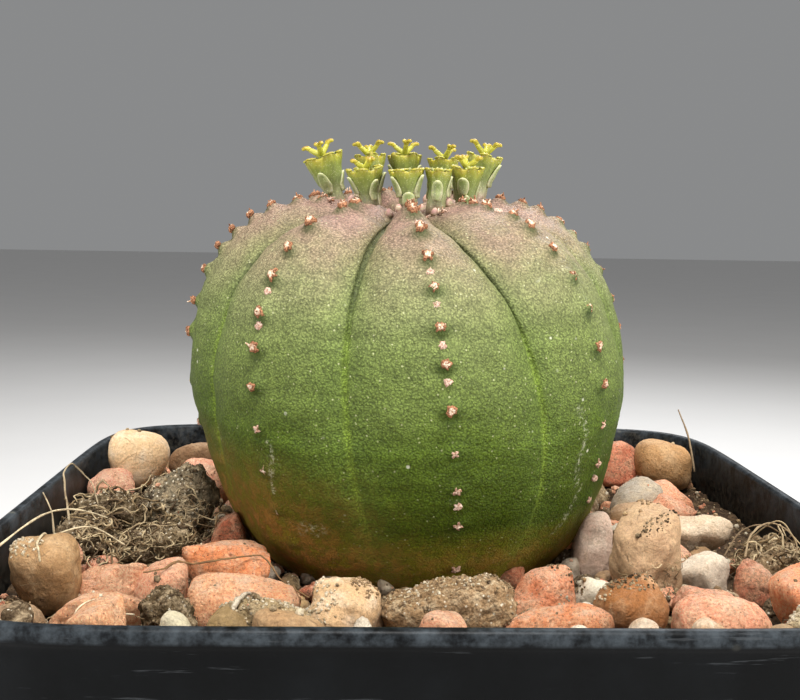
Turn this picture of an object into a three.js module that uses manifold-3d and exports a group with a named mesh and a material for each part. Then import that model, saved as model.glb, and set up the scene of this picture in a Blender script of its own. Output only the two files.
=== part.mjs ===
// A potted Euphorbia obesa: a ribbed globular succulent in flower, in a square nursery pot
// filled with soil and topped with mixed gravel. Millimetres, +Z up. The origin is the centre
// of the pot's foot on the surface that it stands on, and the pot's front is -Y.

import * as THREE from "three";
import { mergeVertices } from "three/addons/utils/BufferGeometryUtils.js";
import Module from "manifold-3d";

const wasm = await Module();
wasm.setup();

// ---- Driving dimensions ----

// Clearance between neighbouring pieces.
const GAP = 0.3;

// Pot: outside width over the rim, full height, and half widths of its square outline.
const RIM_WIDTH = 90;
const POT_HEIGHT = 80;
const WALL = 1.1;
const FLOOR = 1.2;
const LIP_WIDTH = 1.4;
const LIP_THICKNESS = 1.5;
const COLLAR_HEIGHT = 13;
const COLLAR_STEP = 1.7;
const BASE_HALF = 32;
const FOOT_HEIGHT = 1.5;
const FOOT_WIDTH = 5;
const FOOT_NOTCH = 6;
const SLOT_WIDTH = 3.4;
const SLOT_LENGTH = 11;
const SLOT_DISTANCE = 14;
const CENTRE_HOLE_RADIUS = 1.8;

// The outline is a superellipse: sides that bulge slightly, and broad round corners.
const OUTLINE_POWER = 7.5;
const OUTLINE_STEPS = 40;

// Level of the soil under the gravel.
const SOIL_TOP = POT_HEIGHT - 6.5;

// Stem: middle of the globe, its lean, and how far the crown drifts sideways.
const STEM_CENTRE = new THREE.Vector3(-1.2, 0, POT_HEIGHT + 16.1);
const STEM_LEAN = new THREE.Vector2(-0.01, -0.1);
const STEM_DRIFT = [-0.88, -0.43];
const DRIFT_SCALE = 20;
const STEM_RINGS = 21;
const STEPS_PER_RIB = 6;

// Distance of the rib crests from the stem's middle, by the angle down from the crown.
const CREST_RADIUS = [
  [0, 16.8],
  [25, 20.0],
  [45, 23.4],
  [65, 24.7],
  [85, 24.9],
  [105, 25.4],
  [125, 26.7],
  [145, 28.6],
  [165, 29.9],
  [180, 31.5],
];

// Depth of the furrows as a share of that distance, by the same angle.
const FURROW_DEPTH = [
  [0, 0.12],
  [30, 0.15],
  [60, 0.105],
  [90, 0.055],
  [130, 0.01],
  [180, 0],
];

// Each rib's crest, and the furrow that follows it: azimuth at the equator from -Y towards +X
// in degrees, then how much it turns and how much it bows from there down, per radian.
const RIBS = [
  { crest: [-40, 1, 7], furrow: [-17, 2, 8] },
  { crest: [7, 4, 1], furrow: [31, 6, -12] },
  { crest: [50, 3, 2], furrow: [73, -2, 4] },
  { crest: [96, -2, 3], furrow: [118, 3, 2] },
  { crest: [140, 3, 2], furrow: [163, -3, 4] },
  { crest: [185, -3, 3], furrow: [207, 2, -3] },
  { crest: [230, 3, 2], furrow: [252, 4, 3] },
  { crest: [275, 2, 3], furrow: [297, -3, 4] },
];

// The lines run straight to the poles beyond this angle from the equator, in radians.
const LINE_REACH = 0.9;

// Flowers (cyathia) around the sunken crown: foot of the stalk, lean outward, height to the
// rim of the cup, radius of that rim, turn in degrees, and the height of the style, 0 for none.
const FLOWERS = [
  { foot: [-9.8, -0.5], lean: [-0.33, -0.05], height: 5.6, cup: 2.3, turn: 10, style: 2.1 },
  { foot: [-6.1, -5.6], lean: [-0.13, -0.12], height: 4.0, cup: 2.1, turn: 40, style: 1.5 },
  { foot: [-5.6, 4.6], lean: [-0.1, 0.12], height: 5.9, cup: 1.9, turn: 65, style: 2.1 },
  { foot: [-1.9, -7.3], lean: [-0.07, -0.05], height: 3.8, cup: 2.0, turn: 20, style: 0 },
  { foot: [-1.8, 6.4], lean: [-0.03, 0.08], height: 5.4, cup: 2.1, turn: 14, style: 2.2 },
  { foot: [1.1, -6.8], lean: [0.05, -0.04], height: 4.2, cup: 1.45, turn: 50, style: 0 },
  { foot: [2.7, 5.8], lean: [0.02, 0.1], height: 4.5, cup: 1.95, turn: 30, style: 2.1 },
  { foot: [4.3, -4.4], lean: [0.05, -0.1], height: 4.9, cup: 1.9, turn: 75, style: 1.7 },
  { foot: [6.2, 0.2], lean: [0.16, 0.02], height: 4.6, cup: 2.1, turn: 55, style: 2.1 },
];

// Flower details.
const STALK_RADIUS = 1.05;
const CUP_DISH = 0.7;
const CUP_LOBES = 5;
const LOBE_DEPTH = 0.1;
const CUP_STEPS = 15;
const BRACTS = 3;
const BRACT_SIZE = [0.55, 0.28, 1.5];
const STYLE_RADIUS = 0.42;
const STYLE_ARMS = 3;
const ARM_RADIUS = 0.3;
const FORK_RADIUS = 0.24;
const TUBE_STEPS = 4;

// Gravel and crumbs that lie on the soil: middle, size (width, depth, height) and turn.
const STONES = [
  { name: "ochre_pebble", at: [-36.9, -24.4], size: [6.6, 7.0, 7.6], turn: 12 },
  { name: "salmon_shard_left", at: [-37.2, -15.6], size: [4.4, 4.6, 5.6], turn: 30 },
  { name: "salmon_ridge", at: [-30.6, -21.6], size: [7.2, 5.0, 5.4], turn: 14 },
  { name: "salmon_slab_front_left", at: [-30.6, -29.8], size: [9.4, 6.0, 5.3], turn: 12 },
  { name: "salmon_wedge_front_left", at: [-28.2, -37.8], size: [5.2, 7.4, 6.6], turn: -10 },
  { name: "tan_pebble_front_left", at: [-36.8, -34.6], size: [6.6, 6.4, 6.0], turn: 20 },
  { name: "dark_crumb_front", at: [-23.4, -33.2], size: [4.6, 5.4, 5.8], turn: 35 },
  { name: "rose_pebble", at: [-25.2, -24.4], size: [5.2, 4.8, 5.6], turn: 5 },
  { name: "brick_block", at: [-20.2, -17.8], size: [9.4, 7.0, 6.3], turn: 9 },
  { name: "brick_bar_front", at: [-16.6, -28.2], size: [10.4, 5.2, 5.2], turn: 4 },
  { name: "sandy_crumb", at: [-14.6, -34.6], size: [9.0, 5.4, 6.0], turn: -6 },
  { name: "brown_pebble_front", at: [-12.8, -39.8], size: [6.6, 4.4, 6.8], turn: 0 },
  { name: "buff_pebble", at: [-7.8, -31.6], size: [6.2, 6.0, 6.4], turn: -12 },
  { name: "earth_lump", at: [0.2, -31.2], size: [11.4, 6.6, 5.6], turn: 3 },
  { name: "salmon_chip_front", at: [0.6, -39.2], size: [5.2, 5.2, 6.6], turn: 18 },
  { name: "brick_bar_long", at: [10.8, -33.6], size: [10.8, 4.6, 5.6], turn: -2 },
  { name: "brick_shard", at: [11.6, -23.8], size: [7.8, 5.6, 5.6], turn: 20 },
  { name: "white_chip", at: [16.8, -22.0], size: [4.0, 4.6, 4.8], turn: -25 },
  { name: "caramel_pebble", at: [18.9, -28.2], size: [6.8, 5.8, 5.3], turn: 4 },
  { name: "tan_block", at: [22.9, -16.6], size: [8.0, 7.6, 9.9], turn: -8 },
  { name: "salmon_pebble_right", at: [26.8, -25.4], size: [6.2, 4.8, 4.6], turn: 12 },
  { name: "salmon_slab_front_right", at: [25.6, -35.6], size: [8.6, 6.2, 6.2], turn: -4 },
  { name: "brick_boulder", at: [36.2, -26.6], size: [9.4, 8.4, 7.4], turn: 22 },
  { name: "pale_chip_right", at: [29.6, -16.4], size: [5.2, 5.4, 5.4], turn: 40 },
  { name: "dark_brick_right", at: [34.2, -18.4], size: [4.8, 4.4, 5.2], turn: -20 },
  { name: "grit_front_right", at: [34.6, -36.4], size: [7.8, 6.0, 6.2], turn: 15 },
  { name: "rose_white_pebble", at: [18.9, -10.0], size: [4.4, 5.2, 7.8], turn: 10 },
  { name: "white_slab", at: [32.2, -2.4], size: [9.2, 5.8, 6.2], turn: -16 },
  { name: "root_crumbs", at: [38.0, -11.4], size: [6.6, 7.0, 5.0], turn: -30 },
  { name: "grey_pebble_right", at: [29.0, 13.6], size: [7.2, 6.0, 5.4], turn: 25 },
  { name: "tan_pebble_back_right", at: [38.0, 29.4], size: [8.2, 6.6, 7.4], turn: 8 },
  { name: "brick_chip_back_right", at: [31.0, 32.2], size: [6.4, 6.0, 7.6], turn: -18 },
  { name: "cream_pebble_back_left", at: [-38.2, 24.6], size: [8.4, 7.8, 8.2], turn: 14 },
  { name: "brown_pebble_back_left", at: [-32.2, 33.4], size: [6.4, 6.0, 5.6], turn: -22 },
  { name: "rose_pebble_back_left", at: [-26.6, 19.6], size: [7.0, 6.6, 6.9], turn: 30 },
  { name: "brick_chip_left", at: [-21.6, -6.2], size: [4.0, 5.0, 7.2], turn: -6 },
  { name: "earth_and_root_clump", at: [-31.0, -4.4], size: [15.6, 15.0, 9.0], turn: -14 },
  { name: "brick_slab_behind", at: [-4.2, 34.0], size: [10.2, 6.4, 5.6], turn: 10 },
  { name: "buff_pebble_behind", at: [12.4, 33.2], size: [7.6, 7.2, 6.2], turn: -30 },
];
const STONE_SINK = 0.42;
const STONE_ROUGHNESS = 0.1;

// ---- Colours and finishes ----

const FINISHES = {
  pot: { color: 0x0d0f11, roughness: 0.5 },
  soil: { color: 0x3b3026, roughness: 1 },
  stem: { color: 0x5d6b43, roughness: 0.6 },
  cyathium: { color: 0xa3b173, roughness: 0.6 },
  style: { color: 0xc9cc4a, roughness: 0.5 },
  brick: { color: 0xc47a5c, roughness: 0.95 },
  pale: { color: 0xd6c4ab, roughness: 0.9 },
  brown: { color: 0xa07a50, roughness: 0.8 },
  earth: { color: 0x6d5a47, roughness: 1 },
};

// ---- Helpers ----

// A closed body from rings of equal length, ordered upwards and counter-clockwise from above,
// with one point that closes each end.
function loft(rings, first, last) {
  const count = rings[0].length;
  const points = [first, ...rings.flat(), last];
  const top = points.length - 1;
  const at = (ring, step) => 1 + ring * count + (step % count);
  const faces = [];
  for (let step = 0; step < count; step++) {
    faces.push(0, at(0, step + 1), at(0, step));
    faces.push(top, at(rings.length - 1, step), at(rings.length - 1, step + 1));
    for (let ring = 0; ring + 1 < rings.length; ring++) {
      const [a, b] = [at(ring, step), at(ring, step + 1)];
      const [c, d] = [at(ring + 1, step + 1), at(ring + 1, step)];
      faces.push(a, b, c, a, c, d);
    }
  }
  const geometry = new THREE.BufferGeometry().setFromPoints(points);
  geometry.setIndex(faces);
  return geometry;
}

// A three.js geometry as a manifold-3d solid, and back.
function toSolid(geometry) {
  const bare = new THREE.BufferGeometry();
  bare.setAttribute("position", geometry.getAttribute("position"));
  bare.setIndex(geometry.index);
  const merged = mergeVertices(bare, 1e-4);
  const vertProperties = new Float32Array(merged.attributes.position.array);
  const triVerts = new Uint32Array(merged.index.array);
  return new wasm.Manifold(new wasm.Mesh({ numProp: 3, vertProperties, triVerts }));
}

function toGeometry(solid) {
  const mesh = solid.getMesh();
  const geometry = new THREE.BufferGeometry();
  geometry.setAttribute("position", new THREE.BufferAttribute(mesh.vertProperties, 3));
  geometry.setIndex(new THREE.BufferAttribute(mesh.triVerts, 1));
  return geometry;
}

// The largest separate body of a solid, so that a cut leaves no loose splinter.
function mainBody(solid) {
  const bodies = solid.decompose();
  bodies.sort((a, b) => b.volume() - a.volume());
  return bodies[0];
}

function joined(geometries) {
  return geometries.map(toSolid).reduce((whole, piece) => whole.add(piece));
}

// A straight-line value from a table of [position, value] rows.
function straightValue(table, x) {
  let row = 0;
  while (row + 2 < table.length && x > table[row + 1][0]) row++;
  const [x0, y0] = table[row];
  const [x1, y1] = table[row + 1];
  return THREE.MathUtils.lerp(y0, y1, THREE.MathUtils.clamp((x - x0) / (x1 - x0), 0, 1));
}

// A smooth value from the same kind of table: cubic pieces that are level at both ends.
function smoothValue(table, x) {
  let row = 0;
  while (row + 2 < table.length && x > table[row + 1][0]) row++;
  const slope = (i) => {
    if (i === 0 || i === table.length - 1) return 0;
    return (table[i + 1][1] - table[i - 1][1]) / (table[i + 1][0] - table[i - 1][0]);
  };
  const [x0, y0] = table[row];
  const [x1, y1] = table[row + 1];
  const span = x1 - x0;
  const s = (x - x0) / span;
  const rise = y0 * (1 + 2 * s) * (1 - s) ** 2 + y1 * s * s * (3 - 2 * s);
  return rise + span * (slope(row) * s * (1 - s) ** 2 - slope(row + 1) * s * s * (1 - s));
}

// Repeatable value between -1 and 1 for a place in space, for the stones' rough shapes.
function roughness(x, y, z) {
  const wave = Math.sin(x * 12.9898 + y * 78.233 + z * 37.719) * 43758.5453;
  return 2 * (wave - Math.floor(wave)) - 1;
}

function finish(name) {
  return new THREE.MeshStandardMaterial({ metalness: 0, ...FINISHES[name] });
}

function piece(name, geometry, finishName) {
  geometry.computeVertexNormals();
  const mesh = new THREE.Mesh(geometry, finish(finishName));
  mesh.name = name;
  return mesh;
}

// ---- Pot and soil ----

// Points of the square outline at one level.
function outline(half, z) {
  const ring = [];
  for (let step = 0; step < OUTLINE_STEPS; step++) {
    const angle = (2 * Math.PI * step) / OUTLINE_STEPS;
    const part = (value) => Math.sign(value) * Math.abs(value) ** (2 / OUTLINE_POWER);
    ring.push(new THREE.Vector3(half * part(Math.cos(angle)), half * part(Math.sin(angle)), z));
  }
  return ring;
}

// A square body from its profile of [half width, level] rows, closed on the axis.
function squareBody(profile, bottom, top) {
  const rings = profile.map(([half, z]) => outline(half, z));
  return loft(rings, new THREE.Vector3(0, 0, bottom), new THREE.Vector3(0, 0, top));
}

const RIM_HALF = RIM_WIDTH / 2;
const INNER_RIM_HALF = RIM_HALF - LIP_WIDTH;
const COLLAR_BOTTOM = POT_HEIGHT - COLLAR_HEIGHT;
const COLLAR_HALF = INNER_RIM_HALF + WALL;
const BODY_TOP_HALF = COLLAR_HALF - COLLAR_STEP;
const FLOOR_TOP = FOOT_HEIGHT + FLOOR;

// Half width of the pot's inside by level.
const POT_INSIDE = [
  [FLOOR_TOP, BASE_HALF - WALL],
  [COLLAR_BOTTOM, BODY_TOP_HALF - WALL],
  [COLLAR_BOTTOM + COLLAR_STEP, COLLAR_HALF - WALL - 0.2],
  [POT_HEIGHT - 0.5, INNER_RIM_HALF],
];

function drainSlot(angle) {
  const half = (SLOT_LENGTH - SLOT_WIDTH) / 2;
  const shape = new THREE.Shape();
  shape.absarc(half, 0, SLOT_WIDTH / 2, -Math.PI / 2, Math.PI / 2);
  shape.absarc(-half, 0, SLOT_WIDTH / 2, Math.PI / 2, (3 * Math.PI) / 2);
  const slot = new THREE.ExtrudeGeometry(shape, {
    depth: 2 * FLOOR_TOP,
    bevelEnabled: false,
    curveSegments: 4,
  });
  slot.translate(SLOT_DISTANCE, 0, -1);
  slot.rotateZ(angle);
  return slot;
}

function centreHole() {
  const hole = new THREE.CylinderGeometry(CENTRE_HOLE_RADIUS, CENTRE_HOLE_RADIUS, 10, 16);
  hole.rotateX(Math.PI / 2);
  return hole;
}

function footNotch(angle) {
  const notch = new THREE.BoxGeometry(3 * FOOT_WIDTH, FOOT_NOTCH, 1.6 * FOOT_HEIGHT);
  notch.translate(BASE_HALF, 0, 0);
  notch.rotateZ(angle);
  return notch;
}

function pot() {
  const profile = [
    [BASE_HALF - FOOT_WIDTH, FOOT_HEIGHT],
    [BASE_HALF - FOOT_WIDTH, 0],
    [BASE_HALF - 0.6, 0],
    [BASE_HALF, 0.8],
    [BODY_TOP_HALF, COLLAR_BOTTOM],
    [COLLAR_HALF - 0.3, COLLAR_BOTTOM + 0.8],
    [COLLAR_HALF, POT_HEIGHT - LIP_THICKNESS - 0.8],
    [RIM_HALF - 0.3, POT_HEIGHT - LIP_THICKNESS - 0.3],
    [RIM_HALF, POT_HEIGHT - LIP_THICKNESS],
    [RIM_HALF, POT_HEIGHT - 0.5],
    [RIM_HALF - 0.4, POT_HEIGHT],
    [INNER_RIM_HALF + 0.3, POT_HEIGHT],
    ...POT_INSIDE.map(([z, half]) => [half, z]).reverse(),
  ];
  let body = toSolid(squareBody(profile, FOOT_HEIGHT, FLOOR_TOP));
  body = body.subtract(toSolid(centreHole()));
  for (let side = 0; side < 4; side++) {
    body = body.subtract(toSolid(footNotch((side * Math.PI) / 2)));
    body = body.subtract(toSolid(drainSlot(Math.PI / 4 + (side * Math.PI) / 2)));
  }
  return piece("pot", toGeometry(body), "pot");
}

function soil() {
  const half = (z) => straightValue(POT_INSIDE, z) - GAP;
  const levels = [FLOOR_TOP + GAP, COLLAR_BOTTOM, COLLAR_BOTTOM + COLLAR_STEP, SOIL_TOP];
  const profile = levels.map((z) => [half(z), z]);
  const body = toSolid(squareBody(profile, levels[0], SOIL_TOP));
  return piece("soil", toGeometry(mainBody(body.subtract(stemSolid(GAP)))), "soil");
}

// ---- Stem ----

const leanAxis = new THREE.Vector3(Math.sin(STEM_LEAN.x), Math.sin(STEM_LEAN.y), 1).normalize();
const sideAxis = new THREE.Vector3(1, 0, 0).addScaledVector(leanAxis, -leanAxis.x).normalize();
const backAxis = new THREE.Vector3().crossVectors(leanAxis, sideAxis);

// Azimuth of a crest or furrow line at an angle down from the crown, in radians.
function lineAzimuth([middle, turn, bow], down) {
  const below = THREE.MathUtils.clamp(down - Math.PI / 2, -LINE_REACH, LINE_REACH);
  return THREE.MathUtils.degToRad(middle + turn * below + bow * below * below);
}

// A point of the stem's skin. ridge is 0 on a crest and 1 in a furrow, and grow moves it out.
function stemPoint(down, azimuth, ridge, grow) {
  const degrees = THREE.MathUtils.radToDeg(down);
  const section = 1 - 0.75 * Math.sqrt(1 - ridge * ridge) - 0.25 * (1 - ridge);
  const dent = straightValue(FURROW_DEPTH, degrees) * section;
  const radius = smoothValue(CREST_RADIUS, degrees) * (1 - dent) + grow;
  const up = radius * Math.cos(down);
  const drift = up / DRIFT_SCALE;
  const point = STEM_CENTRE.clone();
  point.x += STEM_DRIFT[0] * drift + STEM_DRIFT[1] * drift * drift;
  point.addScaledVector(sideAxis, radius * Math.sin(down) * Math.sin(azimuth));
  point.addScaledVector(backAxis, -radius * Math.sin(down) * Math.cos(azimuth));
  return point.addScaledVector(leanAxis, up);
}

// One ring of the skin: every rib runs from its crest to its furrow to the next crest.
function stemRing(down, grow) {
  const ring = [];
  RIBS.forEach((rib, index) => {
    const next = RIBS[(index + 1) % RIBS.length];
    const crest = lineAzimuth(rib.crest, down);
    const furrow = lineAzimuth(rib.furrow, down);
    const turn = index + 1 === RIBS.length ? 2 * Math.PI : 0;
    const nextCrest = lineAzimuth(next.crest, down) + turn;
    for (let step = 0; step < STEPS_PER_RIB; step++) {
      const along = (2 * step) / STEPS_PER_RIB;
      const ridge = along < 1 ? along : 2 - along;
      const azimuth =
        along < 1
          ? THREE.MathUtils.lerp(crest, furrow, along)
          : THREE.MathUtils.lerp(furrow, nextCrest, along - 1);
      ring.push(stemPoint(down, azimuth, ridge, grow));
    }
  });
  return ring;
}

function stemGeometry(grow) {
  const rings = [];
  for (let ring = STEM_RINGS; ring > 0; ring--) {
    rings.push(stemRing((Math.PI * ring) / (STEM_RINGS + 1), grow));
  }
  return loft(rings, stemPoint(Math.PI, 0, 0, grow), stemPoint(0, 0, 0.8, grow));
}

function stemSolid(grow) {
  return toSolid(stemGeometry(grow));
}

// ---- Flowers ----

// A round bar along a few points, with a flat end at each.
function bar(points, radius, tip) {
  const rings = points.map((point, index) => {
    const before = points[Math.max(index - 1, 0)];
    const after = points[Math.min(index + 1, points.length - 1)];
    const along = new THREE.Vector3().subVectors(after, before).normalize();
    const side = new THREE.Vector3(1, 0, 0).addScaledVector(along, -along.x).normalize();
    const front = new THREE.Vector3().crossVectors(along, side);
    const size = THREE.MathUtils.lerp(radius, tip, index / (points.length - 1));
    const ring = [];
    for (let step = 0; step < TUBE_STEPS; step++) {
      const angle = (2 * Math.PI * step) / TUBE_STEPS;
      const rim = point.clone().addScaledVector(side, size * Math.cos(angle));
      ring.push(rim.addScaledVector(front, size * Math.sin(angle)));
    }
    return ring;
  });
  return loft(rings, points[0], points[points.length - 1]);
}

// The goblet: a stalk that widens to a lobed rim around a shallow dish. Level 0 is its foot.
function goblet(flower) {
  const waist = STALK_RADIUS * 0.92;
  const sections = [
    [-1.6, STALK_RADIUS * 0.9, 0],
    [0, STALK_RADIUS, 0],
    [flower.height * 0.3, waist, 0],
    [flower.height * 0.62, flower.cup * 0.68, 0.3],
    [flower.height * 0.9, flower.cup * 0.93, 0.8],
    [flower.height, flower.cup, 1],
    [flower.height - CUP_DISH * 0.4, flower.cup * 0.62, 0.4],
  ];
  const rings = sections.map(([z, radius, lobed]) => {
    const ring = [];
    for (let step = 0; step < CUP_STEPS; step++) {
      const angle = (2 * Math.PI * step) / CUP_STEPS;
      const size = radius * (1 - LOBE_DEPTH * lobed * (0.5 - 0.5 * Math.cos(CUP_LOBES * angle)));
      ring.push(new THREE.Vector3(size * Math.cos(angle), size * Math.sin(angle), z));
    }
    return ring;
  });
  const foot = new THREE.Vector3(0, 0, -1.6);
  return loft(rings, foot, new THREE.Vector3(0, 0, flower.height - CUP_DISH));
}

// One small leaf pressed against the goblet, at a height that steps up from leaf to leaf.
function bract(flower, index) {
  const leaf = new THREE.SphereGeometry(1, 5, 3);
  leaf.rotateX(Math.PI / 2);
  leaf.scale(BRACT_SIZE[1], BRACT_SIZE[0], BRACT_SIZE[2]);
  leaf.rotateY(THREE.MathUtils.degToRad(12));
  const height = flower.height * (0.3 + (0.3 * index) / BRACTS);
  leaf.translate(STALK_RADIUS * (1 + (0.25 * index) / BRACTS), 0, height);
  leaf.rotateZ(THREE.MathUtils.degToRad(137.5 * index - 60));
  return leaf;
}

// A column with three arms, each of them forked at its tip.
function styleGeometries(height) {
  const fork = height * 0.45;
  const shapes = [
    bar([new THREE.Vector3(0, 0, 0), new THREE.Vector3(0, 0, fork)], STYLE_RADIUS, STYLE_RADIUS),
  ];
  for (let arm = 0; arm < STYLE_ARMS; arm++) {
    const angle = (2 * Math.PI * arm) / STYLE_ARMS;
    const out = (reach, turn, z) =>
      new THREE.Vector3(reach * Math.cos(angle + turn), reach * Math.sin(angle + turn), z);
    const middle = out(height * 0.42, 0, height * 0.78);
    shapes.push(bar([out(0, 0, fork * 0.6), middle], ARM_RADIUS, ARM_RADIUS * 0.9));
    for (const turn of [-0.32, 0.32]) {
      const tip = out(height * 0.72, turn, height - FORK_RADIUS);
      shapes.push(bar([out(height * 0.3, 0, height * 0.66), tip], FORK_RADIUS, FORK_RADIUS));
    }
  }
  return shapes;
}

// Level of the stem's skin above a point of the ground plan.
function crownLevel(x, y) {
  const skin = new THREE.Mesh(stemGeometry(0));
  skin.updateMatrixWorld();
  const down = new THREE.Vector3(0, 0, -1);
  const ray = new THREE.Raycaster(new THREE.Vector3(x, y, 2 * POT_HEIGHT), down);
  return ray.intersectObject(skin)[0].point.z;
}

// Turns and places a geometry that was made upright around the origin.
function placedOn(flower, geometry, lift) {
  const [x, y] = flower.foot;
  const lean = new THREE.Vector3(flower.lean[0], flower.lean[1], 1).normalize();
  const tilt = new THREE.Quaternion().setFromUnitVectors(new THREE.Vector3(0, 0, 1), lean);
  geometry.translate(0, 0, lift);
  geometry.rotateZ(THREE.MathUtils.degToRad(flower.turn));
  geometry.applyQuaternion(tilt);
  geometry.translate(x, y, crownLevel(x, y));
  return geometry;
}

function cyathium(flower, index) {
  const shapes = [goblet(flower)];
  for (let leaf = 0; leaf < BRACTS; leaf++) shapes.push(bract(flower, leaf));
  shapes.forEach((shape) => placedOn(flower, shape, 0));
  const body = mainBody(joined(shapes).subtract(stemSolid(GAP)));
  return piece(`cyathium_${index + 1}`, toGeometry(body), "cyathium");
}

function style(flower, index) {
  const lift = flower.height - CUP_DISH + GAP;
  const shapes = styleGeometries(flower.style + CUP_DISH - GAP);
  shapes.forEach((shape) => placedOn(flower, shape, lift));
  return piece(`style_${index + 1}`, toGeometry(joined(shapes)), "style");
}

// ---- Gravel ----

// Middle of a stone: part of its height is below the level of the soil, and is cut off there.
function stoneMiddle(stone) {
  return new THREE.Vector3(stone.at[0], stone.at[1], SOIL_TOP + STONE_SINK * stone.size[2]);
}

// Planes halfway between a stone and its neighbours, in terms of their sizes.
function boundaries(stone) {
  const middle = stoneMiddle(stone);
  const reach = (one) => (one.size[0] + one.size[1]) / 4;
  return STONES.filter((other) => other !== stone).map((other) => {
    const towards = new THREE.Vector3().subVectors(stoneMiddle(other), middle);
    const distance = towards.length();
    const share = reach(stone) / (reach(stone) + reach(other));
    return { towards: towards.normalize(), limit: distance * share - GAP / 2 };
  });
}

// A rough ellipsoid that stops at the planes towards its neighbours.
function roughStone(stone) {
  const geometry = mergeVertices(
    new THREE.IcosahedronGeometry(1, 1).deleteAttribute("normal").deleteAttribute("uv"),
  );
  const planes = boundaries(stone);
  const turn = new THREE.Matrix4().makeRotationZ(THREE.MathUtils.degToRad(stone.turn));
  const middle = stoneMiddle(stone);
  const corners = geometry.getAttribute("position");
  const corner = new THREE.Vector3();
  for (let i = 0; i < corners.count; i++) {
    corner.fromBufferAttribute(corners, i);
    const key = roughness(corner.x + stone.at[0], corner.y + stone.at[1], corner.z);
    corner.multiply(new THREE.Vector3(...stone.size)).multiplyScalar(0.54);
    corner.multiplyScalar(1 + STONE_ROUGHNESS * key).applyMatrix4(turn);
    for (const { towards, limit } of planes) {
      const reach = corner.dot(towards);
      if (reach > limit) corner.multiplyScalar(limit / reach);
    }
    corner.add(middle);
    corners.setXYZ(i, corner.x, corner.y, corner.z);
  }
  return geometry;
}

// The room that the gravel lies in: above the soil, inside the wall and clear of the stem.
function gravelRoom() {
  const levels = [SOIL_TOP + GAP, POT_HEIGHT - 0.5, POT_HEIGHT + 10];
  const half = (z) => straightValue(POT_INSIDE, z) - GAP;
  const profile = levels.map((z) => [half(z), z]);
  const room = toSolid(squareBody(profile, levels[0], levels[2]));
  return room.subtract(stemSolid(GAP));
}

const STONE_FINISH = [
  ["salmon", "brick"],
  ["brick", "brick"],
  ["rose", "brick"],
  ["pale", "pale"],
  ["white", "pale"],
  ["cream", "pale"],
  ["buff", "pale"],
  ["earth", "earth"],
  ["crumb", "earth"],
  ["grit", "earth"],
];

function stone(shape, room) {
  const body = mainBody(toSolid(roughStone(shape)).intersect(room));
  const match = STONE_FINISH.find(([word]) => shape.name.includes(word));
  return piece(shape.name, toGeometry(body), match ? match[1] : "brown");
}

// ---- Assembly ----

const plant = new THREE.Group();
plant.add(pot());
plant.add(soil());
plant.add(piece("stem", stemGeometry(0), "stem"));
FLOWERS.forEach((flower, index) => {
  plant.add(cyathium(flower, index));
  if (flower.style > 0) plant.add(style(flower, index));
});
const room = gravelRoom();
STONES.forEach((shape) => plant.add(stone(shape, room)));

export default plant;
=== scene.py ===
import math
from collections import namedtuple

import bmesh
import bpy
import numpy as np
from mathutils import Matrix, Vector
from mathutils.bvhtree import BVHTree


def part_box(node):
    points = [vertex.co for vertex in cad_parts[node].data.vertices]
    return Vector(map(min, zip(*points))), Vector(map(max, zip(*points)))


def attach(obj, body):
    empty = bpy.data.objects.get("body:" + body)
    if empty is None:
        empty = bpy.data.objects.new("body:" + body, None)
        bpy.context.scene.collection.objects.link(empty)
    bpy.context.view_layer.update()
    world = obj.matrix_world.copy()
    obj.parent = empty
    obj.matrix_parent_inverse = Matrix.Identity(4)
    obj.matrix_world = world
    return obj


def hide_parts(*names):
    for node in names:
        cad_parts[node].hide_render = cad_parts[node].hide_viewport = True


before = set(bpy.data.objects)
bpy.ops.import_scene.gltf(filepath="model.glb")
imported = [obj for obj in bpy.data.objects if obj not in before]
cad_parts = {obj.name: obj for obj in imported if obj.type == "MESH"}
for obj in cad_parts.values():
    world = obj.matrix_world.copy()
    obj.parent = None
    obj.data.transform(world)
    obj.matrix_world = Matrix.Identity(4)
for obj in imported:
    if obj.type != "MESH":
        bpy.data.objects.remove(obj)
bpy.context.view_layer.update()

# A potted Euphorbia obesa in flower. Lengths are millimetres until a mesh is made.
MM = 0.001


# ---- Numbers shared with the CAD model ----

RIM_HALF = 45.0
POT_HEIGHT = 80.0
INNER_HALF = 43.6
OUTLINE_POWER = 7.5
SOIL_TOP = 73.5
STEM_CENTRE = np.array([-1.2, 0.0, 96.1])
STEM_DRIFT = (-0.88, -0.43)
DRIFT_SCALE = 20.0
STEM_LEAN = (-0.01, -0.1)
CREST_RADIUS = [
    (0, 16.8), (25, 20.0), (45, 23.4), (65, 24.7), (85, 24.9),
    (105, 25.4), (125, 26.7), (145, 28.6), (165, 29.9), (180, 31.5),
]
FURROW_DEPTH = [(0, 0.12), (30, 0.15), (60, 0.105), (90, 0.055), (130, 0.01), (180, 0)]
LINE_REACH = 0.9
# Crest line and the furrow line after it: azimuth from the front, turn and bow, in degrees.
RIBS = [
    ((-40, 1, 7), (-17, 2, 8)), ((7, 4, 1), (31, 6, -12)),
    ((50, 3, 2), (73, -2, 4)), ((96, -2, 3), (118, 3, 2)),
    ((140, 3, 2), (163, -3, 4)), ((185, -3, 3), (207, 2, -3)),
    ((230, 3, 2), (252, 4, 3)), ((275, 2, 3), (297, -3, 4)),
]
POT_INSIDE = [(2.7, 30.9), (67, 41.9), (68.7, 43.4), (79.5, 43.6)]


# ---- Colour, noise and mesh helpers ----

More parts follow.
